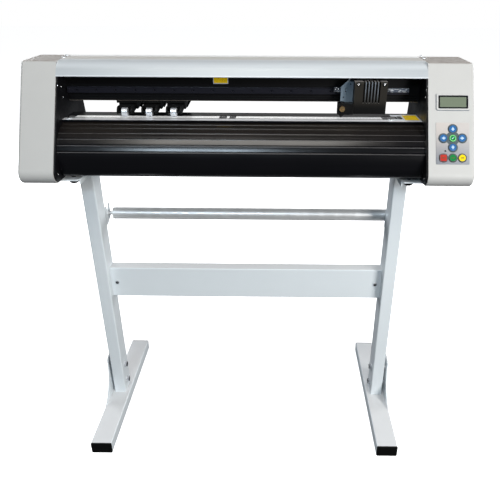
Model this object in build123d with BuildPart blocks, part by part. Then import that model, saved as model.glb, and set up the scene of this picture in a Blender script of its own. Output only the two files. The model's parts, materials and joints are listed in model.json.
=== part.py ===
from build123d import *

import os
from math import atan2, cos, degrees, pi, radians, sin

# Floor-standing vinyl cutter: a steel stand carries a long machine body with a fluted front
# cover, a platen, a knife carriage on a beam, three pinch rollers and a keypad.
# Millimetres. +X right as seen from the front, +Y towards the back, +Z up.
# Origin: middle of the whole machine in plan, on the floor.

os.makedirs("parts", exist_ok=True)

# ---- driving dimensions ----

HALF_WIDTH = 446            # overall width is twice this
TOP_Z = 885                 # top of the machine body
BODY_Z = 665                # underside of the machine body, where it sits on the stand

# side view of the body
FRONT_TOP_Y = -36           # front edge of the flat top
FRONT_FOOT_Y = -162         # where the leaning front would meet the underside
REAR_TOP_Y = 60
REAR_FOOT_Y = 98
TOE_RADIUS = 20
BROW_RADIUS = 6
TOP_BROW_RADIUS = 33        # rounded brow of the aluminium top cover

# along X
PLATE_LEFT_X = -376         # outer faces of the two side plates
PLATE_RIGHT_X = 356
PLATE_T = 3
PLATE_INSET = 2.5           # the plates stand this far inside the caps' outline
INNER_LEFT_X = PLATE_LEFT_X + PLATE_T
INNER_RIGHT_X = PLATE_RIGHT_X - PLATE_T
INNER_LENGTH = INNER_RIGHT_X - INNER_LEFT_X
INNER_MID_X = (INNER_RIGHT_X + INNER_LEFT_X) / 2
CAP_WALL = 3
CAP_EDGE = 5                # rounding of the caps' outer edges

# stand
STAND_X = -13
LEG_REACH = 345.5           # from the stand's middle to the middle of each leg
LEG_W = 30
LEG_D = 50
TUBE_WALL = 1.5
TUBE_CORNER = 3
FOOT_W = 50
FOOT_H = 30
FOOT_LENGTH = 416
PLUG_T = 3
SADDLE_T = 3
SADDLE_W = 42
SADDLE_FRONT_Y = -110
SADDLE_BACK_Y = 72
SADDLE_LIP = 11
LEG_TOP_Z = BODY_Z - SADDLE_T
CROSSBAR_H = 80
CROSSBAR_D = 30
CROSSBAR_Z = 363            # middle height
GUSSET_T = 3
GUSSET_TOP_Z = 133
GUSSET_HALF_FOOT = 84
GUSSET_HALF_HEAD = 21
GUSSET_BOLT_Z = (55, 105)
KNOB_R = 10.5
KNOB_H = 10.5
STUD_H = 7
KNOB_Y = (-90, 56)

# media roller behind the legs
ROLLER_R = 14
ROLLER_WALL = 1.5
ROLLER_LEFT_X = -329
ROLLER_RIGHT_X = 330
ROLLER_Y = 44
ROLLER_Z = 527
ROLLER_AXLE_R = 4
BRACKET_T = 2.5
RUNNING_FIT = 0.05          # radial clearance of a turning fit

# platen, knife strip and drive shaft
PLATEN_TOP_Z = 776
PLATEN_T = 4
PLATEN_FRONT_Y = -64
PLATEN_BACK_Y = 8
DRIVE_Y = -30               # line of the drive shaft and the pinch wheels
DRUM_R = 11
SHAFT_R = 6
JOURNAL_R = 5
SHAFT_Z = PLATEN_TOP_Z - DRUM_R
DRUMS = ((-369, -356), (-56, -45), (-35, -26), (278, 305))
DRUM_SLOT_HALF = 9.2
STRIP_FRONT_Y = -44
STRIP_BACK_Y = -26
STRIP_T = 0.8
BEARING_R = 11

# covers below the platen
COVER_T = 2.5
SHELF_Z = 770               # where both covers meet the platen
FRONT_ARC_Y = -55
FRONT_ARC_Z = 704
FRONT_ARC_R = 66
FRONT_TOE_R = 24
FLUTE_COUNT = 6
FLUTE_START = 103           # degrees round the front arc
FLUTE_STEP = 11.5
FLUTE_R = 1.6
REAR_ARC_Y = 20
REAR_ARC_Z = 700
REAR_ARC_R = 70
REAR_TOE_R = 22
COVER_FOOT_Z = 670

# beam with its guide rail and belt
BEAM_FRONT_Y = -8
BEAM_BACK_Y = 26
BEAM_Z = 803
BEAM_TOP_Z = 862
BEAM_WALL = 3
RAIL_D = 8
RAIL_H = 12
RAIL_Z = 819.6
RAIL_RIGHT_X = 330
RAIL_HOLES = 17
RAIL_HOLE_PITCH = 40
BELT_Y = -3                 # line of the two pulley axes
BELT_Z = 852
BELT_H = 6
BELT_T = 1.3
PULLEY_R = 10
PULLEY_GAP = 0.4
DRIVE_PULLEY_X = 385
IDLER_PULLEY_X = -398
SHELF_PLATE_Z = 843

# pinch units
PINCH_X = (-253, -202.5, -152)
PINCH_BAR = 12
PINCH_BAR_Y = 33
PINCH_BAR_Z = 806
WHEEL_R = 8.5
WHEEL_W = 12
WHEEL_Z = 784.9
PIVOT_Y = 8
PIVOT_Z = 790
ARM_HALF = 16
EAR_T = 3

# carriage
CARRIAGE_LEFT_X = 189
CARRIAGE_RIGHT_X = 278.3
COVER_LEFT_X = 213.6
CARRIAGE_TOP_Z = 853
TOOL_X = 190.5
TOOL_Y = -48
SCREW_Z = 800

# feed gears
GEAR_MODULE = 1
GEAR_TEETH = 60
PINION_TEETH = 15
GEAR_LEAN = 0.2             # extra centre distance for backlash
GEAR_ANGLE = degrees(atan2(-22.5, 30))
GEAR_X = 361
GEAR_W = 9
MOTOR_SIZE = 42

# keypad panel on the leaning face of the right cap
PANEL_X = 402.8
PANEL_W = 64.5
PANEL_H = 82
PANEL_DOWN = 159.5          # distance down the leaning face to the panel's middle
PANEL_T = 0.8
KEY_PITCH = 18.2
PAD_DOWN = 149.3            # middle of the arrow cross
ROW_DOWN = 188
DISPLAY_X = 404
DISPLAY_DOWN = 78
KEY_GAP = 0.3
KEYS = (
    ("arrow_up_button", PANEL_X, PAD_DOWN - KEY_PITCH, "round", 7.9),
    ("arrow_left_button", PANEL_X - KEY_PITCH, PAD_DOWN, "round", 7.9),
    ("arrow_right_button", PANEL_X + KEY_PITCH, PAD_DOWN, "round", 7.9),
    ("arrow_down_button", PANEL_X, PAD_DOWN + KEY_PITCH, "round", 7.9),
    ("enter_button", PANEL_X, PAD_DOWN, "round", 7.2),
    ("stop_button", PANEL_X - KEY_PITCH, ROW_DOWN, "square", 14.4),
    ("start_button", PANEL_X, ROW_DOWN, "round", 7.2),
    ("menu_button", PANEL_X + KEY_PITCH, ROW_DOWN, "round", 7.2),
)

# mains module in the rear face of the left cap
INLET_X = -411
INLET_DOWN = 160
INLET_CUT_W = 27
INLET_CUT_H = 47
ROCKER_UP = 14              # middle of the rocker above the middle of the module
ROCKER_PIN_R = 2

# ---- shared helpers ----

LEG_X = {"left": STAND_X - LEG_REACH, "right": STAND_X + LEG_REACH}
OUTWARD = {"left": -1, "right": 1}
lean = atan2(FRONT_TOP_Y - FRONT_FOOT_Y, TOP_Z - BODY_Z)
rear_lean = atan2(REAR_FOOT_Y - REAR_TOP_Y, TOP_Z - BODY_Z)
panel_down = Vector(0, -sin(lean), -cos(lean))
panel_out = Vector(0, -cos(lean), sin(lean))
rear_down = Vector(0, sin(rear_lean), -cos(rear_lean))
rear_out = Vector(0, cos(rear_lean), sin(rear_lean))


def save(piece, name):
    """Label a finished piece and write it as its own STEP file."""
    piece.label = name
    export_step(piece, f"parts/{name}.step")


def panel_plane(x, down, out=0.0):
    """Plane on the leaning front face, 'down' from the top edge; local Y points up the face."""
    origin = Vector(x, FRONT_TOP_Y, TOP_Z) + panel_down * down + panel_out * out
    return Plane(origin=origin, x_dir=(1, 0, 0), z_dir=panel_out)


def rear_plane(x, down, out=0.0):
    """Plane on the leaning rear face, seen from behind."""
    origin = Vector(x, REAR_TOP_Y, TOP_Z) + rear_down * down + rear_out * out
    return Plane(origin=origin, x_dir=(-1, 0, 0), z_dir=rear_out)


def upright(x, y, z):
    """Plane facing the front through a point; local X is +X and local Y is +Z."""
    return Plane(origin=(x, y, z), x_dir=(1, 0, 0), z_dir=(0, -1, 0))


def side_profile(inset=0.0, brow_radius=BROW_RADIUS):
    """Side view of the body as a flat sketch: local X is +Y and local Y is +Z."""
    with BuildSketch() as profile:
        Polygon(
            (FRONT_FOOT_Y, BODY_Z),
            (REAR_FOOT_Y, BODY_Z),
            (REAR_TOP_Y, TOP_Z),
            (FRONT_TOP_Y, TOP_Z),
            align=None,
        )
        toes = profile.vertices().group_by(Axis.Y)[0]
        fillet(toes, TOE_RADIUS)
        rear_brow = profile.vertices().group_by(Axis.Y)[-1].sort_by(Axis.X)[-1]
        fillet(rear_brow, BROW_RADIUS)
        front_brow = profile.vertices().group_by(Axis.Y)[-1].sort_by(Axis.X)[0]
        fillet(front_brow, brow_radius)
        if inset:
            offset(amount=-inset, mode=Mode.REPLACE)
    return profile.sketch_local


def sheet_profile(points, radii, thickness, side):
    """Bent-sheet profile as a flat sketch: a rounded polyline given a thickness on one side."""
    with BuildSketch() as profile:
        with BuildLine():
            FilletPolyline(*points, radius=radii)
            offset(amount=thickness, side=side)
        make_face()
    return profile.sketch_local


def box_tube(width, height, wall, corner):
    """Hollow rectangular section in the current sketch."""
    RectangleRounded(width, height, corner)
    RectangleRounded(width - 2 * wall, height - 2 * wall, corner - wall / 2, mode=Mode.SUBTRACT)


def toothed_disc(teeth, module, phase):
    """Spur gear section: a root disc with one tapered tooth per pitch."""
    root = module * (teeth / 2 - 1.25)
    tooth_h = 2.25 * module
    Circle(root)
    with PolarLocations(root - 0.2, teeth, start_angle=phase):
        Polygon(
            (0, -0.85 * module),
            (0.2 + tooth_h, -0.28 * module),
            (0.2 + tooth_h, 0.28 * module),
            (0, 0.85 * module),
            align=None,
        )


# ---- stand ----

def make_leg(side):
    """Upright box tube with the saddle plate that carries the machine welded on its top."""
    leg_x = LEG_X[side]
    out = OUTWARD[side]
    inner_x = leg_x - out * LEG_W / 2
    with BuildPart() as leg:
        with BuildSketch(Plane.XY.offset(FOOT_H)):
            with Locations((leg_x, 0)):
                box_tube(LEG_W, LEG_D, TUBE_WALL, TUBE_CORNER)
        extrude(amount=LEG_TOP_Z - FOOT_H)
        saddle_y = (SADDLE_FRONT_Y + SADDLE_BACK_Y) / 2
        saddle_length = SADDLE_BACK_Y - SADDLE_FRONT_Y
        with BuildSketch(Plane.XY.offset(LEG_TOP_Z)):
            with Locations((inner_x + out * SADDLE_W / 2, saddle_y)):
                RectangleRounded(SADDLE_W, saddle_length, 4)
            for knob_y in KNOB_Y:
                with Locations((leg_x, knob_y)):
                    Circle(4.2, mode=Mode.SUBTRACT)
        extrude(amount=SADDLE_T)
        # the lip turned down along the saddle's inner edge
        with BuildSketch(Plane.XY.offset(BODY_Z)):
            with Locations((inner_x - out * SADDLE_T / 2, saddle_y)):
                RectangleRounded(SADDLE_T, saddle_length - 10, 1.2)
        extrude(amount=-SADDLE_LIP)
        # cross holes for the gusset bolts
        for bolt_z in GUSSET_BOLT_Z:
            with Locations(Location((leg_x, 0, bolt_z), (0, 90, 0))):
                Cylinder(4.1, LEG_W + 2, mode=Mode.SUBTRACT)
    save(leg.part, f"leg_{side}")


def make_foot(side):
    """Foot tube on the floor with a curved gusset standing on its outer edge."""
    leg_x = LEG_X[side]
    out = OUTWARD[side]
    with BuildPart() as foot:
        with BuildSketch(Plane.XZ):
            with Locations((leg_x, FOOT_H / 2)):
                box_tube(FOOT_W, FOOT_H, TUBE_WALL, TUBE_CORNER)
        extrude(amount=FOOT_LENGTH / 2 - PLUG_T, both=True)
        outer_x = leg_x + out * (FOOT_W / 2 - 0.5)
        with BuildSketch(Plane.YZ.offset(outer_x)):
            with BuildLine():
                foot_left = (-GUSSET_HALF_FOOT, FOOT_H - 1)
                head_left = (-GUSSET_HALF_HEAD, GUSSET_TOP_Z)
                head_right = (GUSSET_HALF_HEAD, GUSSET_TOP_Z)
                foot_right = (GUSSET_HALF_FOOT, FOOT_H - 1)
                ThreePointArc(foot_left, (-38, 66), head_left)
                ThreePointArc(head_left, (0, GUSSET_TOP_Z + 6), head_right)
                ThreePointArc(head_right, (38, 66), foot_right)
                Line(foot_right, foot_left)
            make_face()
            for bolt_z in GUSSET_BOLT_Z:
                with Locations((0, bolt_z)):
                    Circle(4.1, mode=Mode.SUBTRACT)
        extrude(amount=-out * GUSSET_T)
    save(foot.part, f"foot_{side}")


def make_foot_end_caps():
    """Four black plastic plugs that close the foot tubes."""
    with BuildPart() as plugs:
        for leg_x in LEG_X.values():
            for end in (-1, 1):
                end_y = end * FOOT_LENGTH / 2
                face = Plane(origin=(leg_x, end_y, FOOT_H / 2), x_dir=(end, 0, 0), z_dir=(0, -end, 0))
                with BuildSketch(face):
                    RectangleRounded(FOOT_W, FOOT_H, TUBE_CORNER)
                extrude(amount=PLUG_T)
                inner_corner = TUBE_CORNER - TUBE_WALL / 2
                with BuildSketch(face.offset(PLUG_T)):
                    RectangleRounded(FOOT_W - 2 * TUBE_WALL, FOOT_H - 2 * TUBE_WALL, inner_corner)
                    Rectangle(FOOT_W - 10, FOOT_H - 10, mode=Mode.SUBTRACT)
                extrude(amount=14)
        rims = plugs.edges().filter_by(Plane.XZ).group_by(Axis.Y)
        fillet(rims[0] + rims[-1], 1.2)
    save(plugs.part, "foot_end_caps")


def make_crossbar():
    """Deep box tube between the legs, set flush with their backs."""
    left = LEG_X["left"] + LEG_W / 2
    right = LEG_X["right"] - LEG_W / 2
    back = LEG_D / 2
    with BuildPart() as crossbar:
        with BuildSketch(Plane.YZ.offset(left)):
            with Locations((back - CROSSBAR_D / 2, CROSSBAR_Z)):
                box_tube(CROSSBAR_D, CROSSBAR_H, TUBE_WALL, TUBE_CORNER)
        extrude(amount=right - left)
        for bolt_x in (left + 14, right - 14):
            with Locations(Location((bolt_x, back - CROSSBAR_D, CROSSBAR_Z), (90, 0, 0))):
                Cylinder(3.1, 8, mode=Mode.SUBTRACT)
    save(crossbar.part, "crossbar")


def make_stand_bolts():
    """Gusset bolts with spacers, and the crossbar's front bolts, as separate solids."""
    left = LEG_X["left"] + LEG_W / 2
    right = LEG_X["right"] - LEG_W / 2
    with BuildPart() as bolts:
        for side, leg_x in LEG_X.items():
            out = OUTWARD[side]
            gusset_face = leg_x + out * (FOOT_W / 2 - 0.5)
            spacer = FOOT_W / 2 - 0.5 - GUSSET_T - LEG_W / 2
            for bolt_z in GUSSET_BOLT_Z:
                with BuildSketch(Plane.YZ.offset(leg_x - out * (LEG_W / 2 + 6))):
                    with Locations((0, bolt_z)):
                        Circle(4)
                extrude(amount=out * (LEG_W / 2 + 6 + FOOT_W / 2 - 0.5))
                with BuildSketch(Plane.YZ.offset(gusset_face)):
                    with Locations((0, bolt_z)):
                        RegularPolygon(7.5, 6)
                extrude(amount=out * 0.5)
                with BuildSketch(Plane.YZ.offset(leg_x + out * LEG_W / 2)):
                    with Locations((0, bolt_z)):
                        Circle(6.5)
                extrude(amount=out * spacer)
                with BuildSketch(Plane.YZ.offset(leg_x - out * LEG_W / 2)):
                    with Locations((0, bolt_z)):
                        RegularPolygon(7.5, 6)
                extrude(amount=-out * 6)
        for bolt_x in (left + 14, right - 14):
            front = upright(bolt_x, LEG_D / 2 - CROSSBAR_D, CROSSBAR_Z)
            with BuildSketch(front):
                Circle(5)
            extrude(amount=3, taper=20)
            with BuildSketch(front):
                Circle(3)
            extrude(amount=-6)
    save(bolts.part, "stand_bolts")


def make_clamp_knobs():
    """Domed knobs below the saddles; their studs screw up into the base tray."""
    with BuildPart() as knobs:
        for leg_x in LEG_X.values():
            for knob_y in KNOB_Y:
                top = upright(leg_x, knob_y, LEG_TOP_Z)
                with BuildSketch(top):
                    with BuildLine():
                        Polyline((0, -KNOB_H), (4, -KNOB_H))
                        ThreePointArc((4, -KNOB_H), (8.6, -8), (KNOB_R, -3))
                        Polyline((KNOB_R, -3), (KNOB_R, 0), (4, 0), (4, STUD_H), (0, STUD_H))
                        Line((0, STUD_H), (0, -KNOB_H))
                    make_face()
                revolve(axis=Axis((leg_x, knob_y, LEG_TOP_Z), (0, 0, 1)))
    save(knobs.part, "clamp_knobs")


def make_roller_brackets():
    """Two like brackets on the legs' backs; the roller's stub axles drop into their notches."""
    back = LEG_D / 2
    with BuildPart() as brackets:
        for leg_x in LEG_X.values():
            wing_x = leg_x + LEG_W / 2
            with BuildSketch(Plane.YZ.offset(wing_x)):
                Polygon(
                    (back, ROLLER_Z - 24),
                    (back + 8, ROLLER_Z - 24),
                    (ROLLER_Y + 15, ROLLER_Z - 12),
                    (ROLLER_Y + 15, ROLLER_Z + 20),
                    (ROLLER_Y + 10, ROLLER_Z + 20),
                    (ROLLER_Y + ROLLER_AXLE_R, ROLLER_Z + 9),
                    (ROLLER_Y - ROLLER_AXLE_R, ROLLER_Z + 9),
                    (ROLLER_Y - 10, ROLLER_Z + 20),
                    (back, ROLLER_Z + 20),
                    align=None,
                )
                with Locations((ROLLER_Y, ROLLER_Z)):
                    Circle(ROLLER_AXLE_R + RUNNING_FIT, mode=Mode.SUBTRACT)
                with Locations((ROLLER_Y, ROLLER_Z + 6)):
                    Rectangle(2 * (ROLLER_AXLE_R + RUNNING_FIT), 12, mode=Mode.SUBTRACT)
            extrude(amount=-BRACKET_T)
            with BuildSketch(Plane.XZ.offset(-back)):
                with Locations((leg_x, ROLLER_Z - 2)):
                    Rectangle(LEG_W, 44)
                    for hole_z in (-14, 14):
                        with Locations((-2, hole_z)):
                            Circle(2.6, mode=Mode.SUBTRACT)
            extrude(amount=-BRACKET_T)
    save(brackets.part, "roller_brackets")


def make_media_roller():
    """Free-turning tube for the roll of vinyl, with pressed end plugs and stub axles."""
    with BuildPart() as roller:
        with BuildSketch(Plane.YZ.offset(ROLLER_LEFT_X)):
            with Locations((ROLLER_Y, ROLLER_Z)):
                Circle(ROLLER_R)
                Circle(ROLLER_R - ROLLER_WALL, mode=Mode.SUBTRACT)
        extrude(amount=ROLLER_RIGHT_X - ROLLER_LEFT_X)
        for end_x, out in ((ROLLER_LEFT_X, -1), (ROLLER_RIGHT_X, 1)):
            with BuildSketch(Plane.YZ.offset(end_x + out * 1.5)):
                with Locations((ROLLER_Y, ROLLER_Z)):
                    Circle(ROLLER_R - 0.5)
            extrude(amount=-out * 8, taper=-4)
            with BuildSketch(Plane.YZ.offset(end_x)):
                with Locations((ROLLER_Y, ROLLER_Z)):
                    Circle(ROLLER_AXLE_R)
            extrude(amount=out * 19)
    save(roller.part, "media_roller")


# ---- machine chassis ----

def make_side_plate(side):
    """Steel side plate with its bearing seat, belt window and a bent shelf for the pulley."""
    out = OUTWARD[side]
    face_x = PLATE_LEFT_X if side == "left" else PLATE_RIGHT_X
    pulley_x = IDLER_PULLEY_X if side == "left" else DRIVE_PULLEY_X
    with BuildPart() as plate:
        with BuildSketch(Plane.YZ.offset(face_x)):
            add(side_profile(PLATE_INSET, TOP_BROW_RADIUS))
            with Locations((DRIVE_Y, SHAFT_Z)):
                Circle(BEARING_R, mode=Mode.SUBTRACT)
            with Locations((BELT_Y, BELT_Z + BELT_H / 2)):
                RectangleRounded(34, 15, 3, mode=Mode.SUBTRACT)
            with Locations((20, 715)):
                RectangleRounded(30, 18, 4, mode=Mode.SUBTRACT)
            if side == "right":
                with Locations(feed_pinion_centre()):
                    Circle(9.5, mode=Mode.SUBTRACT)
        extrude(amount=-out * PLATE_T)
        # shelf bent outwards under the pulley
        shelf_depth = abs(pulley_x - face_x) + 21
        with BuildSketch(Plane.XY.offset(SHELF_PLATE_Z)):
            with Locations((face_x + out * shelf_depth / 2, BELT_Y)):
                RectangleRounded(shelf_depth, MOTOR_SIZE, 2)
            with Locations((face_x + out * 2, BELT_Y)):
                Rectangle(4, MOTOR_SIZE)
            if side == "right":
                with Locations((pulley_x, BELT_Y)):
                    Circle(11.2, mode=Mode.SUBTRACT)
        extrude(amount=PLATE_T)
        if side == "left":
            with BuildSketch(Plane.XY.offset(SHELF_PLATE_Z)):
                with Locations((pulley_x, BELT_Y)):
                    Circle(3)
            extrude(amount=BELT_Z + BELT_H + 4 - SHELF_PLATE_Z)
    save(plate.part, f"side_plate_{side}")


def feed_pinion_centre():
    """(y, z) of the feed motor's shaft."""
    distance = GEAR_MODULE * (GEAR_TEETH + PINION_TEETH) / 2 + GEAR_LEAN
    angle = radians(GEAR_ANGLE)
    return (DRIVE_Y + distance * cos(angle), SHAFT_Z + distance * sin(angle))


def make_end_cap_left():
    """Plain moulded cap; the power inlet sits in its rear face."""
    width = PLATE_LEFT_X + HALF_WIDTH
    with BuildPart() as cap:
        with BuildSketch(Plane.YZ.offset(PLATE_LEFT_X)):
            add(side_profile())
        extrude(amount=-width)
        fillet(cap.faces().sort_by(Axis.X)[0].edges(), CAP_EDGE)
        with BuildSketch(Plane.YZ.offset(PLATE_LEFT_X)):
            add(side_profile(CAP_WALL))
        extrude(amount=CAP_WALL - width, mode=Mode.SUBTRACT)
        with BuildSketch(rear_plane(INLET_X, INLET_DOWN)):
            Rectangle(INLET_CUT_W, INLET_CUT_H)
        extrude(amount=2 * CAP_WALL, both=True, mode=Mode.SUBTRACT)
    save(cap.part, "end_cap_left")


def make_end_cap_right():
    """Moulded cap with a raised display surround and holes for the keypad buttons."""
    width = HALF_WIDTH - PLATE_RIGHT_X
    with BuildPart() as cap:
        with BuildSketch(Plane.YZ.offset(PLATE_RIGHT_X)):
            add(side_profile())
        extrude(amount=width)
        fillet(cap.faces().sort_by(Axis.X)[-1].edges(), CAP_EDGE)
        with BuildSketch(Plane.YZ.offset(PLATE_RIGHT_X)):
            add(side_profile(CAP_WALL))
        extrude(amount=width - CAP_WALL, mode=Mode.SUBTRACT)
        with BuildSketch(panel_plane(DISPLAY_X, DISPLAY_DOWN, -0.5)):
            RectangleRounded(67, 34, 4)
        extrude(amount=2.5, taper=20)
        with BuildSketch(panel_plane(DISPLAY_X, DISPLAY_DOWN)):
            RectangleRounded(58, 26, 1.5)
        extrude(amount=8, both=True, mode=Mode.SUBTRACT)
        for name, x, down, shape, size in KEYS:
            with BuildSketch(panel_plane(x, down)):
                key_outline(shape, size, KEY_GAP)
            extrude(amount=8, both=True, mode=Mode.SUBTRACT)
    save(cap.part, "end_cap_right")


def make_top_cover():
    """Bright aluminium top cover: flat top, rounded brow and a beaded lower edge."""
    lip_y = FRONT_TOP_Y - 26.5 * sin(lean) / cos(lean)
    lip_z = TOP_Z - 26.5
    heel_y = REAR_TOP_Y + 34 * sin(rear_lean) / cos(rear_lean)
    with BuildPart() as cover:
        with BuildSketch(Plane.YZ.offset(PLATE_LEFT_X)):
            bends = (
                (heel_y, TOP_Z - 34),
                (REAR_TOP_Y, TOP_Z),
                (FRONT_TOP_Y, TOP_Z),
                (lip_y, lip_z),
            )
            add(sheet_profile(bends, (5, TOP_BROW_RADIUS), 2, Side.LEFT))
            with Locations((lip_y + 1.1, lip_z)):
                Circle(1.3)
            with Locations((REAR_TOP_Y - 24, TOP_Z)):
                Rectangle(1.2, 1.6, mode=Mode.SUBTRACT)
        extrude(amount=PLATE_RIGHT_X - PLATE_LEFT_X)
    save(cover.part, "top_cover")


def make_beam():
    """Hollow extrusion that carries the guide rail and stiffens the body."""
    with BuildPart() as beam:
        with BuildSketch(Plane.YZ.offset(INNER_LEFT_X)):
            middle = ((BEAM_FRONT_Y + BEAM_BACK_Y) / 2, (BEAM_Z + BEAM_TOP_Z) / 2)
            with Locations(middle):
                Rectangle(BEAM_BACK_Y - BEAM_FRONT_Y, BEAM_TOP_Z - BEAM_Z)
            chamfer(vertices().group_by(Axis.Y)[0], 1.5)
            with Locations(middle):
                Rectangle(
                    BEAM_BACK_Y - BEAM_FRONT_Y - 2 * BEAM_WALL,
                    BEAM_TOP_Z - BEAM_Z - 2 * BEAM_WALL,
                    mode=Mode.SUBTRACT,
                )
            for groove_z in (BEAM_Z + 7, BEAM_Z + 11, BEAM_TOP_Z - 8):
                with Locations((BEAM_FRONT_Y, groove_z)):
                    Rectangle(2, 1.2, mode=Mode.SUBTRACT)
        extrude(amount=INNER_LENGTH)
    save(beam.part, "beam")


def make_guide_rail():
    """Steel linear guide bolted on the beam's front face."""
    front = BEAM_FRONT_Y - RAIL_D
    with BuildPart() as rail:
        with BuildSketch(Plane.YZ.offset(INNER_LEFT_X + 2)):
            with Locations((BEAM_FRONT_Y - RAIL_D / 2, RAIL_Z + RAIL_H / 2)):
                Rectangle(RAIL_D, RAIL_H)
            chamfer(vertices().group_by(Axis.X)[0], 0.6)
            for groove_z in (RAIL_Z, RAIL_Z + RAIL_H):
                with Locations((front + 3.6, groove_z)):
                    Circle(1.3, mode=Mode.SUBTRACT)
        extrude(amount=RAIL_RIGHT_X - INNER_LEFT_X - 2)
        for hole in range(RAIL_HOLES):
            hole_x = INNER_LEFT_X + 22 + RAIL_HOLE_PITCH * hole
            with Locations(Location((hole_x, front, RAIL_Z + RAIL_H / 2), (90, 0, 0))):
                Cylinder(2.6, 6, mode=Mode.SUBTRACT)
    save(rail.part, "guide_rail")


def make_platen():
    """Cutting bed with slots where the drive drums come through."""
    ledge_z = PLATEN_TOP_Z - PLATEN_T
    with BuildPart() as platen:
        with BuildSketch(Plane.YZ.offset(INNER_LEFT_X)):
            with Locations(((PLATEN_FRONT_Y + PLATEN_BACK_Y) / 2, PLATEN_TOP_Z - PLATEN_T / 2)):
                Rectangle(PLATEN_BACK_Y - PLATEN_FRONT_Y, PLATEN_T)
            fillet(vertices().group_by(Axis.X)[0].sort_by(Axis.Y)[-1:], 1.5)
            for foot_y in (PLATEN_FRONT_Y + 10, PLATEN_BACK_Y - 3):
                with Locations((foot_y, (ledge_z + SHELF_Z) / 2)):
                    Rectangle(4, ledge_z - SHELF_Z)
            with Locations(((STRIP_FRONT_Y + STRIP_BACK_Y) / 2, PLATEN_TOP_Z)):
                Rectangle(STRIP_BACK_Y - STRIP_FRONT_Y, 2 * STRIP_T, mode=Mode.SUBTRACT)
            with Locations((PLATEN_FRONT_Y + 17.5, PLATEN_TOP_Z)):
                Rectangle(1.2, 1.6, mode=Mode.SUBTRACT)
        extrude(amount=INNER_LENGTH)
        for drum_left, drum_right in DRUMS:
            with BuildSketch(Plane.XY.offset(ledge_z - 1)):
                with Locations(((drum_left + drum_right) / 2, DRIVE_Y)):
                    Rectangle(drum_right - drum_left + 3, 2 * DRUM_SLOT_HALF)
            extrude(amount=PLATEN_T + 2, mode=Mode.SUBTRACT)
    save(platen.part, "platen")


def make_cutting_strip():
    """White strips let into the platen under the knife, between the drum slots."""
    gap = 2
    with BuildPart() as strip:
        for left_drum, right_drum in zip(DRUMS, DRUMS[1:]):
            left = left_drum[1] + gap
            right = right_drum[0] - gap
            with BuildSketch(Plane.XY.offset(PLATEN_TOP_Z - STRIP_T)):
                with Locations(((left + right) / 2, (STRIP_FRONT_Y + STRIP_BACK_Y) / 2)):
                    Rectangle(right - left, STRIP_BACK_Y - STRIP_FRONT_Y)
            extrude(amount=STRIP_T)
    save(strip.part, "cutting_strip")


def make_front_cover():
    """Curved front extrusion with long flutes round its shoulder."""
    nose_y = FRONT_ARC_Y - FRONT_ARC_R
    start = radians(100)
    arc_start = (FRONT_ARC_Y + FRONT_ARC_R * cos(start), FRONT_ARC_Z + FRONT_ARC_R * sin(start))
    mid = radians(140)
    arc_mid = (FRONT_ARC_Y + FRONT_ARC_R * cos(mid), FRONT_ARC_Z + FRONT_ARC_R * sin(mid))
    toe_y = nose_y + FRONT_TOE_R
    toe_z = COVER_FOOT_Z + FRONT_TOE_R
    toe_mid = (toe_y - FRONT_TOE_R * cos(pi / 4), toe_z - FRONT_TOE_R * sin(pi / 4))
    with BuildPart() as cover:
        with BuildSketch(Plane.YZ.offset(INNER_LEFT_X)):
            with BuildLine():
                Line((PLATEN_FRONT_Y + 16, SHELF_Z), (arc_start[0] + 2, SHELF_Z))
                Line((arc_start[0] + 2, SHELF_Z), arc_start)
                ThreePointArc(arc_start, arc_mid, (nose_y, FRONT_ARC_Z))
                Line((nose_y, FRONT_ARC_Z), (nose_y, toe_z))
                ThreePointArc((nose_y, toe_z), toe_mid, (toe_y, COVER_FOOT_Z))
                Line((toe_y, COVER_FOOT_Z), (toe_y + 16, COVER_FOOT_Z))
                offset(amount=COVER_T, side=Side.LEFT)
            make_face()
            for flute in range(FLUTE_COUNT):
                angle = radians(FLUTE_START + flute * FLUTE_STEP)
                reach = FRONT_ARC_R + 0.3
                with Locations((FRONT_ARC_Y + reach * cos(angle), FRONT_ARC_Z + reach * sin(angle))):
                    Circle(FLUTE_R, mode=Mode.SUBTRACT)
        extrude(amount=INNER_LENGTH)
    save(cover.part, "front_cover")


def make_rear_cover():
    """Smooth curved sheet that guides the vinyl up to the platen from behind."""
    tail_y = REAR_ARC_Y + REAR_ARC_R
    mid = (REAR_ARC_Y + REAR_ARC_R * cos(pi / 4), REAR_ARC_Z + REAR_ARC_R * sin(pi / 4))
    toe_y = tail_y - REAR_TOE_R
    toe_z = COVER_FOOT_Z + REAR_TOE_R
    toe_mid = (toe_y + REAR_TOE_R * cos(pi / 4), toe_z - REAR_TOE_R * sin(pi / 4))
    with BuildPart() as cover:
        with BuildSketch(Plane.YZ.offset(INNER_LEFT_X)):
            with BuildLine():
                Line((PLATEN_BACK_Y - 6, SHELF_Z), (REAR_ARC_Y, SHELF_Z))
                ThreePointArc((REAR_ARC_Y, SHELF_Z), mid, (tail_y, REAR_ARC_Z))
                Line((tail_y, REAR_ARC_Z), (tail_y, toe_z))
                ThreePointArc((tail_y, toe_z), toe_mid, (toe_y, COVER_FOOT_Z))
                Line((toe_y, COVER_FOOT_Z), (toe_y - 8, COVER_FOOT_Z))
                offset(amount=COVER_T, side=Side.RIGHT)
            make_face()
        extrude(amount=INNER_LENGTH)
    save(cover.part, "rear_cover")


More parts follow.
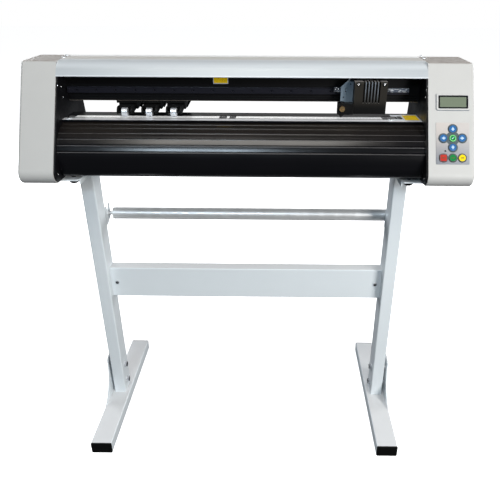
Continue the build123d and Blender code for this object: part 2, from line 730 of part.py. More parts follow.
def make_base_tray():
    """Folded steel pan that closes the body's underside and sits on the saddles."""
    front = FRONT_ARC_Y - FRONT_ARC_R + FRONT_TOE_R + 14
    back = REAR_ARC_Y + REAR_ARC_R - REAR_TOE_R - 6
    with BuildPart() as tray:
        with BuildSketch(Plane.YZ.offset(INNER_LEFT_X)):
            with BuildLine():
                Polyline((front, COVER_FOOT_Z), (front, BODY_Z), (back, BODY_Z), (back, COVER_FOOT_Z))
                offset(amount=2.5, side=Side.LEFT)
            make_face()
        extrude(amount=INNER_LENGTH)
        for leg_x in LEG_X.values():
            for knob_y in KNOB_Y:
                with Locations((leg_x, knob_y, BODY_Z)):
                    Cylinder(4, 12, mode=Mode.SUBTRACT)
        with BuildSketch(Plane.XY.offset(BODY_Z)):
            with GridLocations(60, 44, 9, 2):
                SlotOverall(34, 5)
        extrude(amount=8, both=True, mode=Mode.SUBTRACT)
    save(tray.part, "base_tray")


def make_pinch_bar():
    """Square steel bar that the three pinch brackets slide along."""
    with BuildPart() as bar:
        with BuildSketch(Plane.YZ.offset(INNER_LEFT_X)):
            with Locations((PINCH_BAR_Y, PINCH_BAR_Z)):
                RectangleRounded(PINCH_BAR, PINCH_BAR, 1)
        extrude(amount=INNER_LENGTH)
    save(bar.part, "pinch_bar")


# ---- media feed ----

def make_grit_shaft():
    """Drive shaft with its knurled drums turned on it."""
    left = INNER_LEFT_X - 9
    right = GEAR_X + GEAR_W + 3
    with BuildPart() as shaft:
        with BuildSketch(Plane.YZ.offset(left)):
            with Locations((DRIVE_Y, SHAFT_Z)):
                Circle(JOURNAL_R - RUNNING_FIT)
        extrude(amount=right - left)
        with BuildSketch(Plane.YZ.offset(INNER_LEFT_X + 1)):
            with Locations((DRIVE_Y, SHAFT_Z)):
                Circle(SHAFT_R)
        extrude(amount=INNER_LENGTH - 2)
        for drum_left, drum_right in DRUMS:
            with BuildSketch(Plane.YZ.offset(drum_left)):
                with Locations((DRIVE_Y, SHAFT_Z)):
                    Circle(DRUM_R)
            extrude(amount=drum_right - drum_left)
    save(shaft.part, "grit_shaft")


def make_shaft_bearings():
    """Flanged bearings of the drive shaft, one in each side plate."""
    with BuildPart() as bearings:
        for face_x, out in ((PLATE_LEFT_X, -1), (PLATE_RIGHT_X, 1)):
            with BuildSketch(Plane.YZ.offset(face_x + out * 1.5)):
                with Locations((DRIVE_Y, SHAFT_Z)):
                    Circle(BEARING_R)
                    Circle(JOURNAL_R, mode=Mode.SUBTRACT)
            extrude(amount=-out * (PLATE_T + 1.5))
            with BuildSketch(Plane.YZ.offset(face_x)):
                with Locations((DRIVE_Y, SHAFT_Z)):
                    Circle(BEARING_R + 2)
                    Circle(BEARING_R - 1, mode=Mode.SUBTRACT)
            extrude(amount=out * 1.5)
    save(bearings.part, "shaft_bearings")


def make_feed_gear():
    """Large gear pressed on the drive shaft's right end."""
    with BuildPart() as gear:
        with BuildSketch(Plane.YZ.offset(GEAR_X)):
            with Locations((DRIVE_Y, SHAFT_Z)):
                toothed_disc(GEAR_TEETH, GEAR_MODULE, GEAR_ANGLE)
                Circle(JOURNAL_R - RUNNING_FIT, mode=Mode.SUBTRACT)
                with PolarLocations(18, 5):
                    Circle(5, mode=Mode.SUBTRACT)
        extrude(amount=GEAR_W)
    save(gear.part, "feed_gear")


def make_feed_pinion():
    """Small gear on the feed motor's shaft."""
    centre = feed_pinion_centre()
    phase = GEAR_ANGLE + 180 + 180 / PINION_TEETH
    with BuildPart() as pinion:
        with BuildSketch(Plane.YZ.offset(GEAR_X - 1)):
            with Locations(centre):
                toothed_disc(PINION_TEETH, GEAR_MODULE, phase)
        extrude(amount=GEAR_W + 2)
        with BuildSketch(Plane.YZ.offset(INNER_RIGHT_X - 15)):
            with Locations(centre):
                Circle(2.5)
        extrude(amount=30)
    save(pinion.part, "feed_pinion")


def make_feed_motor():
    """Square stepping motor inside the body, bolted to the right side plate."""
    centre = feed_pinion_centre()
    with BuildPart() as motor:
        with BuildSketch(Plane.YZ.offset(INNER_RIGHT_X - 40)):
            with Locations(centre):
                Rectangle(MOTOR_SIZE, MOTOR_SIZE)
            chamfer(vertices(), 4)
        extrude(amount=40)
        with BuildSketch(Plane.YZ.offset(INNER_RIGHT_X)):
            with Locations(centre):
                Circle(9.5)
        extrude(amount=2)
        with BuildSketch(Plane.YZ.offset(INNER_RIGHT_X - 16)):
            with Locations(centre):
                Circle(2.5 + RUNNING_FIT)
        extrude(amount=20, mode=Mode.SUBTRACT)
    save(motor.part, "feed_motor")


# ---- carriage drive ----

def pulley_section(bore):
    """Toothed belt pulley rim with twenty shallow grooves."""
    Circle(PULLEY_R - PULLEY_GAP)
    with PolarLocations(PULLEY_R - PULLEY_GAP, 20):
        Circle(0.7, mode=Mode.SUBTRACT)
    if bore:
        Circle(bore, mode=Mode.SUBTRACT)


def make_pulley(name, x, bore):
    """Belt pulley between two flanges, turning about a vertical axis."""
    with BuildPart() as pulley:
        with BuildSketch(Plane.XY.offset(BELT_Z - 0.7)):
            with Locations((x, BELT_Y)):
                pulley_section(bore)
        extrude(amount=BELT_H + 1.4)
        for flange_z in (BELT_Z - 1.9, BELT_Z + BELT_H + 0.7):
            with BuildSketch(Plane.XY.offset(flange_z)):
                with Locations((x, BELT_Y)):
                    Circle(PULLEY_R + 2.4)
                    if bore:
                        Circle(bore, mode=Mode.SUBTRACT)
            extrude(amount=1.2)
        if not bore:
            with BuildSketch(Plane.XY.offset(SHELF_PLATE_Z - 10)):
                with Locations((x, BELT_Y)):
                    Circle(2.5)
            extrude(amount=BELT_Z + BELT_H + 6 - SHELF_PLATE_Z + 10)
    save(pulley.part, name)


def make_carriage_motor():
    """Square stepping motor hung below the shelf in the right cap."""
    with BuildPart() as motor:
        with BuildSketch(Plane.XY.offset(SHELF_PLATE_Z)):
            with Locations((DRIVE_PULLEY_X, BELT_Y)):
                Rectangle(MOTOR_SIZE, MOTOR_SIZE)
            chamfer(vertices(), 4)
        extrude(amount=-30)
        with BuildSketch(Plane.XY.offset(SHELF_PLATE_Z)):
            with Locations((DRIVE_PULLEY_X, BELT_Y)):
                Circle(11)
        extrude(amount=2)
        with BuildSketch(Plane.XY.offset(SHELF_PLATE_Z + 2)):
            with Locations((DRIVE_PULLEY_X, BELT_Y)):
                Circle(2.5 + RUNNING_FIT)
        extrude(amount=-14, mode=Mode.SUBTRACT)
    save(motor.part, "carriage_motor")


def make_carriage_belt():
    """Closed belt: its front run lies before the beam and its back run inside the beam."""
    span = DRIVE_PULLEY_X - IDLER_PULLEY_X
    middle = (DRIVE_PULLEY_X + IDLER_PULLEY_X) / 2
    inner = 2 * (PULLEY_R + 0.3)
    with BuildPart() as belt:
        with BuildSketch(Plane.XY.offset(BELT_Z)):
            with Locations((middle, BELT_Y)):
                SlotCenterToCenter(span, inner + 2 * BELT_T)
                SlotCenterToCenter(span, inner, mode=Mode.SUBTRACT)
        extrude(amount=BELT_H)
    save(belt.part, "carriage_belt")


# ---- pinch units ----

def make_pinch_bracket(number, x):
    """Bracket hooked round the pinch bar, with two ears that hold the arm's pivot pin."""
    bar_low = PINCH_BAR_Z - PINCH_BAR / 2
    bar_high = PINCH_BAR_Z + PINCH_BAR / 2
    bar_front = PINCH_BAR_Y - PINCH_BAR / 2
    bar_back = PINCH_BAR_Y + PINCH_BAR / 2
    slide_gap = 0.35
    ear_outer = ARM_HALF + 0.4 + EAR_T
    left_wing = ear_outer + 3.1
    with BuildPart() as bracket:
        with BuildSketch(Plane.YZ.offset(x - left_wing)):
            with BuildLine():
                Polyline(
                    (PIVOT_Y - 12, BEAM_Z - 0.6),
                    (bar_front - 1, BEAM_Z - 0.6),
                    (bar_front - 1, bar_low - slide_gap),
                    (bar_back + slide_gap, bar_low - slide_gap),
                    (bar_back + slide_gap, bar_high + slide_gap),
                    (bar_back - 6, bar_high + slide_gap),
                    (bar_back - 6, bar_high + slide_gap + 2.5),
                    (bar_back + slide_gap + 3, bar_high + slide_gap + 2.5),
                    (bar_back + slide_gap + 3, bar_low - slide_gap - 2),
                    (PIVOT_Y - 12, bar_low - slide_gap - 2),
                    close=True,
                )
            make_face()
        extrude(amount=left_wing + ear_outer)
        for ear_x in (x - ear_outer, x + ear_outer - EAR_T):
            with BuildSketch(Plane.YZ.offset(ear_x)):
                Polygon(
                    (PIVOT_Y - 6, bar_low - slide_gap - 1),
                    (bar_back, bar_low - slide_gap - 1),
                    (bar_back, bar_low - 7),
                    (PIVOT_Y + 6, PIVOT_Z - 6),
                    (PIVOT_Y - 6, PIVOT_Z - 6),
                    align=None,
                )
            extrude(amount=EAR_T)
        with BuildSketch(Plane.YZ.offset(x - ear_outer)):
            with Locations((PIVOT_Y, PIVOT_Z)):
                Circle(2)
        extrude(amount=2 * ear_outer)
    save(bracket.part, f"pinch_bracket_{number}")


def make_pinch_arm(number, x):
    """Sprung arm: two cheeks hold the wheel's axle in front, a release tab stands behind."""
    cheek_t = 3
    with BuildPart() as arm:
        for cheek_x in (x - ARM_HALF, x + ARM_HALF - cheek_t):
            with BuildSketch(Plane.YZ.offset(cheek_x)):
                with BuildLine():
                    heel_low = (PIVOT_Y + 5, PIVOT_Z - 4)
                    heel_high = (PIVOT_Y + 5, PIVOT_Z + 5)
                    nose_high = (DRIVE_Y + 4, PIVOT_Z + 5)
                    nose_mid = (DRIVE_Y - 4, PIVOT_Z - 1)
                    nose_low = (DRIVE_Y - 4.5, WHEEL_Z - 3)
                    Polyline(heel_low, heel_high, nose_high)
                    ThreePointArc(nose_high, nose_mid, nose_low)
                    Polyline(nose_low, (DRIVE_Y + 4, WHEEL_Z - 4), heel_low)
                make_face()
            extrude(amount=cheek_t)
        # bridge over the back of the wheel, then the tail that ends in the release tab
        with BuildSketch(Plane.XY.offset(PIVOT_Z - 3)):
            with Locations((x, (DRIVE_Y + 11.5 + PIVOT_Y + 5) / 2)):
                Rectangle(2 * ARM_HALF, PIVOT_Y + 5 - DRIVE_Y - 11.5)
        extrude(amount=8)
        with BuildSketch(Plane.XY.offset(PIVOT_Z - 3)):
            with Locations((x + 3, PIVOT_Y + 22)):
                Rectangle(16, 40)
        extrude(amount=4)
        # apron behind the wheel
        with BuildSketch(Plane.XY.offset(PLATEN_TOP_Z + 3.5)):
            with Locations((x, DRIVE_Y + 13)):
                Rectangle(2 * ARM_HALF, 3)
        extrude(amount=PIVOT_Z - PLATEN_TOP_Z - 5)
        # release tab with its hooked lower edge
        with BuildSketch(Plane.XZ.offset(-(PIVOT_Y + 38))):
            Polygon(
                (x - 16, PIVOT_Z - 4),
                (x + 8, PIVOT_Z - 8),
                (x + 16, PIVOT_Z - 12),
                (x + 24, PIVOT_Z + 1),
                (x + 25.5, PIVOT_Z + 20),
                (x - 16, PIVOT_Z + 20),
                align=None,
            )
        extrude(amount=-4)
        with BuildSketch(Plane.YZ.offset(x - ARM_HALF - 0.2)):
            with Locations((PIVOT_Y, PIVOT_Z)):
                Circle(2 + RUNNING_FIT)
        extrude(amount=2 * ARM_HALF + 0.4, mode=Mode.SUBTRACT)
        with BuildSketch(Plane.YZ.offset(x - ARM_HALF)):
            with Locations((DRIVE_Y, WHEEL_Z)):
                Circle(1.5)
        extrude(amount=2 * ARM_HALF)
    save(arm.part, f"pinch_arm_{number}")


def make_pinch_wheel(number, x):
    """Grooved wheel that presses the vinyl on the drive drum."""
    with BuildPart() as wheel:
        with BuildSketch(Plane.YZ.offset(x - WHEEL_W / 2)):
            with Locations((DRIVE_Y, WHEEL_Z)):
                Circle(WHEEL_R)
                Circle(1.5 + RUNNING_FIT, mode=Mode.SUBTRACT)
        extrude(amount=WHEEL_W)
        chamfer(wheel.faces().filter_by(Axis.X).edges().group_by(SortBy.RADIUS)[-1], 0.6)
        for groove_x in (-3, 0, 3):
            with BuildSketch(Plane.YZ.offset(x + groove_x - 0.4)):
                with Locations((DRIVE_Y, WHEEL_Z)):
                    Circle(WHEEL_R + 1)
                    Circle(WHEEL_R - 0.5, mode=Mode.SUBTRACT)
            extrude(amount=0.8, mode=Mode.SUBTRACT)
    save(wheel.part, f"pinch_wheel_{number}")


# ---- carriage and knife ----

def make_carriage_plate():
    """Bent carriage plate with its rail slider and the clamp that grips the belt."""
    plate_front = -31
    plate_back = -28
    low = 806
    slide_gap = 0.3
    rail_front = BEAM_FRONT_Y - RAIL_D
    with BuildPart() as plate:
        with BuildSketch(Plane.XZ.offset(-plate_front)):
            with BuildLine():
                Polyline(
                    (CARRIAGE_LEFT_X, low),
                    (CARRIAGE_RIGHT_X - 3, low),
                    (CARRIAGE_RIGHT_X - 3, CARRIAGE_TOP_Z - 4),
                    (CARRIAGE_LEFT_X + 16, CARRIAGE_TOP_Z - 4),
                    (CARRIAGE_LEFT_X + 16, CARRIAGE_TOP_Z),
                    (CARRIAGE_LEFT_X, CARRIAGE_TOP_Z - 16),
                    close=True,
                )
            make_face()
            for hole_x, hole_z, hole_r in ((6, 11, 1.6), (10.5, 27, 1.6), (19, 42, 1.8), (13.5, 42, 1.2)):
                with Locations((CARRIAGE_LEFT_X + hole_x, low + hole_z)):
                    Circle(hole_r, mode=Mode.SUBTRACT)
        extrude(amount=-(plate_back - plate_front))
        # slider that runs on the rail, behind the plate
        with BuildSketch(Plane.YZ.offset(COVER_LEFT_X - 6)):
            with BuildLine():
                Polyline(
                    (plate_back, RAIL_Z - 6),
                    (BEAM_FRONT_Y - 1, RAIL_Z - 6),
                    (BEAM_FRONT_Y - 1, RAIL_Z - slide_gap),
                    (rail_front - slide_gap, RAIL_Z - slide_gap),
                    (rail_front - slide_gap, RAIL_Z + RAIL_H + slide_gap),
                    (BEAM_FRONT_Y - 1, RAIL_Z + RAIL_H + slide_gap),
                    (BEAM_FRONT_Y - 1, BELT_Z - 2.5),
                    (plate_back, BELT_Z - 2.5),
                    close=True,
                )
            make_face()
        extrude(amount=60)
        # belt clamp
        with BuildSketch(Plane.YZ.offset(COVER_LEFT_X + 10)):
            with Locations(((plate_back - 9.5) / 2, BELT_Z + 2.5)):
                Rectangle(-9.5 - plate_back, 11)
            with Locations((BELT_Y - PULLEY_R - 0.3 - BELT_T / 2, BELT_Z + BELT_H / 2)):
                Rectangle(BELT_T + 0.6, BELT_H + 0.6, mode=Mode.SUBTRACT)
        extrude(amount=28)
        # end stop of the slider with its two screws, left of the plate
        with BuildSketch(Plane.XZ.offset(24)):
            with Locations((CARRIAGE_LEFT_X - 6, RAIL_Z + 11)):
                Rectangle(14, 9)
        extrude(amount=-7)
        with BuildSketch(Plane.XZ.offset(24)):
            with Locations((CARRIAGE_LEFT_X + 10, RAIL_Z + 11)):
                Rectangle(20, 9)
        extrude(amount=-7)
        with BuildSketch(Plane.XZ.offset(28)):
            with Locations((CARRIAGE_LEFT_X + 10, RAIL_Z + 11)):
                Rectangle(16, 9)
        extrude(amount=-5)
    save(plate.part, "carriage_plate")


def make_carriage_cover():
    """Black ribbed cover of the knife-lift coil, open at the back."""
    left = COVER_LEFT_X
    right = CARRIAGE_RIGHT_X
    front = -54
    back = -31
    step_y = -40
    low = 788
    step_z = 804.5
    top = CARRIAGE_TOP_Z - 2
    wall = 2.5
    with BuildPart() as cover:
        with BuildSketch(Plane.YZ.offset(left)):
            Polygon(
                (front, low + 2),
                (front + 2, low),
                (step_y, low),
                (step_y, step_z),
                (back, step_z),
                (back, top),
                (front + 2, top),
                (front, top - 3),
                align=None,
            )
        extrude(amount=right - left)
        with BuildSketch(Plane.XZ.offset(-(front + wall))):
            with Locations(((left + right) / 2, (step_z + top) / 2)):
                Rectangle(right - left - 2 * wall, top - step_z - 2 * wall)
        extrude(amount=-(back - front), mode=Mode.SUBTRACT)
        # six cooling slots over the front and the top
        with BuildSketch(Plane.XZ.offset(-(front - 1))):
            with Locations((left + 34.2, 834)):
                with GridLocations(6.1, 1, 6, 1):
                    Rectangle(2.8, 48)
        extrude(amount=-(back - front + 4), mode=Mode.SUBTRACT)
    save(cover.part, "carriage_cover")


def make_tool_clamp():
    """Sliding block that holds the blade holder and lifts it clear of the vinyl."""
    left = 182
    right = 213
    front = -58
    back = -38.5
    low = 788
    top = 809.5
    with BuildPart() as clamp:
        with BuildSketch(Plane.XY.offset(low)):
            with Locations(((left + right) / 2, (front + back) / 2)):
                RectangleRounded(right - left, back - front, 1.5)
            with Locations((TOOL_X, TOOL_Y)):
                Circle(5.75, mode=Mode.SUBTRACT)
        extrude(amount=top - low)
        # tongue that passes under the carriage plate and slides up and down behind it
        with BuildSketch(Plane.YZ.offset(191)):
            Polygon(
                (back - 0.5, 800.5),
                (-24.6, 800.5),
                (-24.6, 824),
                (-27.6, 824),
                (-27.6, 805),
                (back - 0.5, 805),
                align=None,
            )
        extrude(amount=14)
        with Locations(Location((TOOL_X, front, SCREW_Z), (90, 0, 0))):
            Cylinder(2 + RUNNING_FIT, 2 * (TOOL_Y - 5 - front), mode=Mode.SUBTRACT)
    save(clamp.part, "tool_clamp")


def make_blade_holder():
    """Short blade holder with a swivel blade at its tip."""
    with BuildPart() as holder:
        with BuildSketch(upright(TOOL_X, TOOL_Y, 0)):
            Polygon(
                (0, 779.3),
                (0.6, 780.6),
                (2.6, 781.2),
                (5.75, 786),
                (5.75, 811),
                (4.8, 812),
                (0, 812),
                align=None,
            )
        revolve(axis=Axis((TOOL_X, TOOL_Y, 0), (0, 0, 1)))
    save(holder.part, "blade_holder")


def make_tool_screw():
    """Knurled brass thumb screw that clamps the blade holder."""
    with BuildPart() as screw:
        with BuildSketch(upright(TOOL_X, -58.3, SCREW_Z)):
            Circle(5.4)
            with PolarLocations(5.4, 24):
                Circle(0.35, mode=Mode.SUBTRACT)
        extrude(amount=5.5)
        with BuildSketch(upright(TOOL_X, -63.8, SCREW_Z)):
            Rectangle(7, 1)
        extrude(amount=-1, mode=Mode.SUBTRACT)
        with BuildSketch(upright(TOOL_X, -58.3, SCREW_Z)):
            Circle(2)
        extrude(amount=-4.3)
    save(screw.part, "tool_screw")


# ---- keypad, display and electrics ----

def key_outline(shape, size, grow=0.0):
    """Outline of one button, round by radius or square by width."""
    if shape == "round":
        Circle(size + grow)
    else:
        RectangleRounded(size + 2 * grow, size + 2 * grow, 2.2 + grow)


def make_button(name, x, down, shape, size):
    """Button cap with a flange that keeps it behind the cap's wall."""
    with BuildPart() as button:
        with BuildSketch(panel_plane(x, down, -3.5)):
            key_outline(shape, size)
        extrude(amount=5.6)
        crown = button.faces().sort_by(Axis(origin=(0, 0, 0), direction=panel_out))[-1]
        fillet(crown.edges(), 0.8)
        with BuildSketch(panel_plane(x, down, -4.7)):
            key_outline(shape, size, 0.8)
        extrude(amount=1.2)
    save(button.part, name)


def make_keypad_panel():
    """Thin overlay round the buttons."""
    with BuildPart() as panel:
        with BuildSketch(panel_plane(PANEL_X, PANEL_DOWN)):
            RectangleRounded(PANEL_W, PANEL_H, 1.5)
        extrude(amount=PANEL_T)
        for name, x, down, shape, size in KEYS:
            with BuildSketch(panel_plane(x, down)):
                key_outline(shape, size, KEY_GAP)
            extrude(amount=PANEL_T, mode=Mode.SUBTRACT)
    save(panel.part, "keypad_panel")


def make_display():
    """Display window let into the cap, with its module behind."""
    with BuildPart() as display:
        with BuildSketch(panel_plane(DISPLAY_X, DISPLAY_DOWN, 1.0)):
            RectangleRounded(58, 26, 1.5)
        extrude(amount=-6)
        with BuildSketch(panel_plane(DISPLAY_X, DISPLAY_DOWN, -3)):
            Rectangle(70, 34)
        extrude(amount=-6)
    save(display.part, "display")


def make_control_board():
    """Main circuit board on posts on the right side plate, with its larger components."""
    board_x = PLATE_RIGHT_X + 14
    middle = (-14, 700)
    size = (120, 46)
    # each component: its place on the board, its width and height, and how far it stands up
    parts = (
        (-44, 8, 14, 14, 3),
        (-20, -8, 22, 10, 9),
        (6, 8, 12, 12, 3),
        (30, -10, 16, 8, 12),
        (42, 12, 10, 10, 14),
    )
    with BuildPart() as board:
        with BuildSketch(Plane.YZ.offset(board_x)):
            with Locations(middle):
                Rectangle(*size)
        extrude(amount=1.6)
        with BuildSketch(Plane.YZ.offset(PLATE_RIGHT_X)):
            with Locations(middle):
                with GridLocations(size[0] - 10, size[1] - 10, 2, 2):
                    Circle(3)
        extrude(amount=board_x - PLATE_RIGHT_X)
        for y, z, width, height, depth in parts:
            with BuildSketch(Plane.YZ.offset(board_x + 1.6)):
                with Locations((middle[0] + y, middle[1] + z)):
                    Rectangle(width, height)
            extrude(amount=depth)
    save(board.part, "control_board")


def make_power_supply():
    """Vented supply case on the outside of the left side plate."""
    with BuildPart() as supply:
        with BuildSketch(Plane.YZ.offset(PLATE_LEFT_X)):
            with Locations((-25, 712)):
                Rectangle(130, 60)
        extrude(amount=-46)
        fillet(supply.edges().filter_by(Axis.X), 2)
        with BuildSketch(Plane.YZ.offset(PLATE_LEFT_X - 46)):
            with Locations((-25, 712)):
                with GridLocations(8, 16, 12, 3):
                    SlotOverall(12, 3, rotation=90)
        extrude(amount=3, mode=Mode.SUBTRACT)
    save(supply.part, "power_supply")


def make_power_inlet():
    """Mains inlet and switch housing in one module, set in the left cap's rear face."""
    with BuildPart() as inlet:
        with BuildSketch(rear_plane(INLET_X, INLET_DOWN)):
            RectangleRounded(INLET_CUT_W + 6, INLET_CUT_H + 6, 2)
        extrude(amount=2)
        with BuildSketch(rear_plane(INLET_X, INLET_DOWN)):
            Rectangle(INLET_CUT_W, INLET_CUT_H)
        extrude(amount=-20)
        with BuildSketch(rear_plane(INLET_X, INLET_DOWN + 9, 2)):
            Rectangle(23.5, 16.5)
        extrude(amount=-16, mode=Mode.SUBTRACT)
        for pin_x, pin_y in ((-7, -2), (0, 2), (7, -2)):
            with BuildSketch(rear_plane(INLET_X, INLET_DOWN + 9, -14)):
                with Locations((pin_x, pin_y)):
                    Rectangle(2, 4)
            extrude(amount=8)
        with BuildSketch(rear_plane(INLET_X, INLET_DOWN - ROCKER_UP, 2)):
            Rectangle(20.6, 15.6)
        extrude(amount=-12, mode=Mode.SUBTRACT)
        # seats of the rocker's pivot pins
        with BuildSketch(rocker_side()):
            Circle(ROCKER_PIN_R + RUNNING_FIT)
        extrude(amount=12.2, both=True, mode=Mode.SUBTRACT)
    save(inlet.part, "power_inlet")


def rocker_side():
    """Plane through the rocker's middle, square to its pivot pins; local X points outwards."""
    centre = rear_plane(INLET_X, INLET_DOWN - ROCKER_UP, -3).origin
    return Plane(origin=centre, x_dir=rear_out, z_dir=(1, 0, 0))


def make_power_switch():
    """Rocker that tips on two pivot pins inside the module."""
    with BuildPart() as rocker:
        with BuildSketch(rocker_side()):
            Polygon((-3, -4.6), (3.2, -6.0), (4.4, 0), (6.4, 6.0), (-3, 4.6), align=None)
        extrude(amount=9.9, both=True)
        with BuildSketch(rocker_side()):
            Circle(ROCKER_PIN_R)
        extrude(amount=11.8, both=True)
    save(rocker.part, "power_switch")


# ---- build everything ----

for side in LEG_X:
    make_leg(side)
    make_foot(side)
    make_side_plate(side)
make_foot_end_caps()
make_crossbar()
make_stand_bolts()
make_clamp_knobs()
make_roller_brackets()
make_media_roller()
make_end_cap_left()
make_end_cap_right()
make_top_cover()
make_beam()
make_guide_rail()
make_platen()
make_cutting_strip()
make_front_cover()
make_rear_cover()
make_base_tray()
make_pinch_bar()
make_grit_shaft()
make_shaft_bearings()
make_feed_gear()
make_feed_pinion()
make_feed_motor()
make_pulley("drive_pulley", DRIVE_PULLEY_X, 0)
make_pulley("idler_pulley", IDLER_PULLEY_X, 3 + RUNNING_FIT)
make_carriage_motor()
make_carriage_belt()
for number, x in enumerate(PINCH_X, start=1):
    make_pinch_bracket(number, x)
    make_pinch_arm(number, x)
    make_pinch_wheel(number, x)
make_carriage_plate()
make_carriage_cover()
make_tool_clamp()
make_blade_holder()
make_tool_screw()
make_keypad_panel()
make_display()
for key in KEYS:
    make_button(*key)
make_control_board()
make_power_supply()
make_power_inlet()
make_power_switch()
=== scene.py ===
import json
import math

import bmesh
import bpy
from mathutils import Euler, Matrix, Vector


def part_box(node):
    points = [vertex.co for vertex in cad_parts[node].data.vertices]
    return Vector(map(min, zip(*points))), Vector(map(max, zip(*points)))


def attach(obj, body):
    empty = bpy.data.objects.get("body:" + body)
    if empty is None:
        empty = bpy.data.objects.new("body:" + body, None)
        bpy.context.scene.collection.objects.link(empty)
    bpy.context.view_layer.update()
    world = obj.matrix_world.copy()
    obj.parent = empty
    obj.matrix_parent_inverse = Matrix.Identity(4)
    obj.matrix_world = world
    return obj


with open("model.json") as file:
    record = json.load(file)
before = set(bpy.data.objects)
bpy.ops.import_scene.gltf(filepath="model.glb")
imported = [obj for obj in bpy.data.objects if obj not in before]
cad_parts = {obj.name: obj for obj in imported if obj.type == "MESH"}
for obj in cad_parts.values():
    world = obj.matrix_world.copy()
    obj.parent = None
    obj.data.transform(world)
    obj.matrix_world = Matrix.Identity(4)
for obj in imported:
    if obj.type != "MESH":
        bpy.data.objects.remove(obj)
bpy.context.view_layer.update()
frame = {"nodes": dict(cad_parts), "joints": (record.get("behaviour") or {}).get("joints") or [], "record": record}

MM = 0.001
nodes = frame["nodes"]
slot_of = {row["node"]: row["material_slot"] for row in frame["record"]["subparts"]}


# ---- places read from the frame ----

def joint_axis(name):
    """Axis of a CAD joint."""
    return Vector(next(j["axis"] for j in frame["joints"] if j["name"] == name))


def centre(node):
    """Middle of a CAD node's box."""
    low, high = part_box(node)
    return (low + high) / 2


RIGHT = Vector((1, 0, 0))
FRONT = Vector((0, -1, 0))
UP = Vector((0, 0, 1))
FACE_OUT = -joint_axis("enter_press")              # square to the leaning keypad face
FACE_UP = Vector((0, FACE_OUT.z, -FACE_OUT.y))     # up along that face
PANEL_MID = centre("keypad_panel")
PANEL_HALF_T = 0.4 * MM
DISPLAY_UP = 81.5 * MM                             # display above the keypad panel's middle
KEY_PITCH = 18.2 * MM
PAD_UP = 10.2 * MM                                 # arrow cross above the panel's middle
ROW_UP = -28.5 * MM                                # bottom row of keys
CROWN_OUT = 1.7 * MM                               # key tops in front of the panel's middle plane
CROSS_ARM_R = 9.8 * MM                             # dark print round an arrow key
CROSS_HUB_R = 13.6 * MM                            # dark print round the centre key
ROW_SHADOW_R = 8.9 * MM                            # dark print round a key of the bottom row
INK_T = 0.12 * MM                                  # ink standing on a key
PLATEN_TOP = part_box("cutting_strip")[1].z
PLATE_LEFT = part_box("side_plate_left")[1].x        # inner face of the left side plate
PLATE_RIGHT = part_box("side_plate_right")[0].x
BEAM_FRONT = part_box("beam")[0].y
COVER_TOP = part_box("top_cover")[1].z
COVER_ARC_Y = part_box("front_cover")[0].y + 66 * MM     # middle of the cover's round front
COVER_ARC_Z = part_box("front_cover")[1].z - 68 * MM
FIRST_CREST = math.radians(103)                    # first of the six crests, measured from straight back
CREST_STEP = math.radians(11.5)
RIB_PITCH = 6.1 * MM                               # ribs of the carriage cover
FIRST_RIB = 34.2 * MM                              # middle rib, from the cover's left side


def on_face(right, up, out):
    """Point on the keypad face, measured from the middle of the keypad panel."""
    return PANEL_MID + RIGHT * right + FACE_UP * up + FACE_OUT * out


def seat(origin, out, up=UP):
    """Matrix whose local Z points along 'out' and whose local Y is as near 'up' as it can be."""
    z = out.normalized()
    x = up.cross(z).normalized()
    y = z.cross(x)
    matrix = Matrix((x, y, z)).transposed().to_4x4()
    matrix.translation = origin
    return matrix


# ---- shader building blocks ----

def node(tree, kind, inputs=None, **settings):
    """Add one shader node; an input that is a socket is linked, any other is set."""
    made = tree.nodes.new(kind)
    for key, value in settings.items():
        setattr(made, key, value)
    for key, value in (inputs or {}).items():
        if isinstance(value, bpy.types.NodeSocket):
            tree.links.new(value, made.inputs[key])
        else:
            made.inputs[key].default_value = value
    return made


def new_material(name, **constants):
    """Node material with constant shader values; returns it with its tree and shader."""
    made = bpy.data.materials.new(name)
    made.use_nodes = True
    shader = made.node_tree.nodes["Principled BSDF"]
    for key, value in constants.items():
        shader.inputs[key.replace("_", " ")].default_value = value
    return made, made.node_tree, shader


def place(tree, stretch=(1, 1, 1)):
    """Object coordinates, stretched; the CAD nodes' own frame is the machine's frame."""
    coords = node(tree, "ShaderNodeTexCoord").outputs["Object"]
    mapping = node(tree, "ShaderNodeMapping", {"Vector": coords, "Scale": stretch})
    return mapping.outputs["Vector"]


def noise(tree, vector, scale, detail=3.0, roughness=0.55):
    """Noise factor at so many features per metre."""
    inputs = {"Vector": vector, "Scale": scale, "Detail": detail, "Roughness": roughness}
    return node(tree, "ShaderNodeTexNoise", inputs).outputs["Fac"]


def remap(tree, value, low, high, to_low=0.0, to_high=1.0):
    """Smooth step of a value from one range to another."""
    inputs = {
        "Value": value,
        "From Min": low,
        "From Max": high,
        "To Min": to_low,
        "To Max": to_high,
    }
    made = node(tree, "ShaderNodeMapRange", inputs, interpolation_type="SMOOTHSTEP")
    return made.outputs["Result"]


def calc(tree, operation, first, second=0.0):
    """Maths on one or two values."""
    return node(tree, "ShaderNodeMath", {0: first, 1: second}, operation=operation).outputs[0]


def blend_colour(tree, factor, first, second):
    """Mix of two colours, each a tuple or a socket."""
    made = node(tree, "ShaderNodeMix", data_type="RGBA")
    for index, value in ((0, factor), (6, first), (7, second)):
        if isinstance(value, bpy.types.NodeSocket):
            tree.links.new(value, made.inputs[index])
        else:
            made.inputs[index].default_value = value if index == 0 else (*value, 1.0)
    return made.outputs[2]


def position(tree):
    """Separate X, Y and Z of the object coordinates."""
    coords = node(tree, "ShaderNodeTexCoord").outputs["Object"]
    return node(tree, "ShaderNodeSeparateXYZ", {"Vector": coords}).outputs


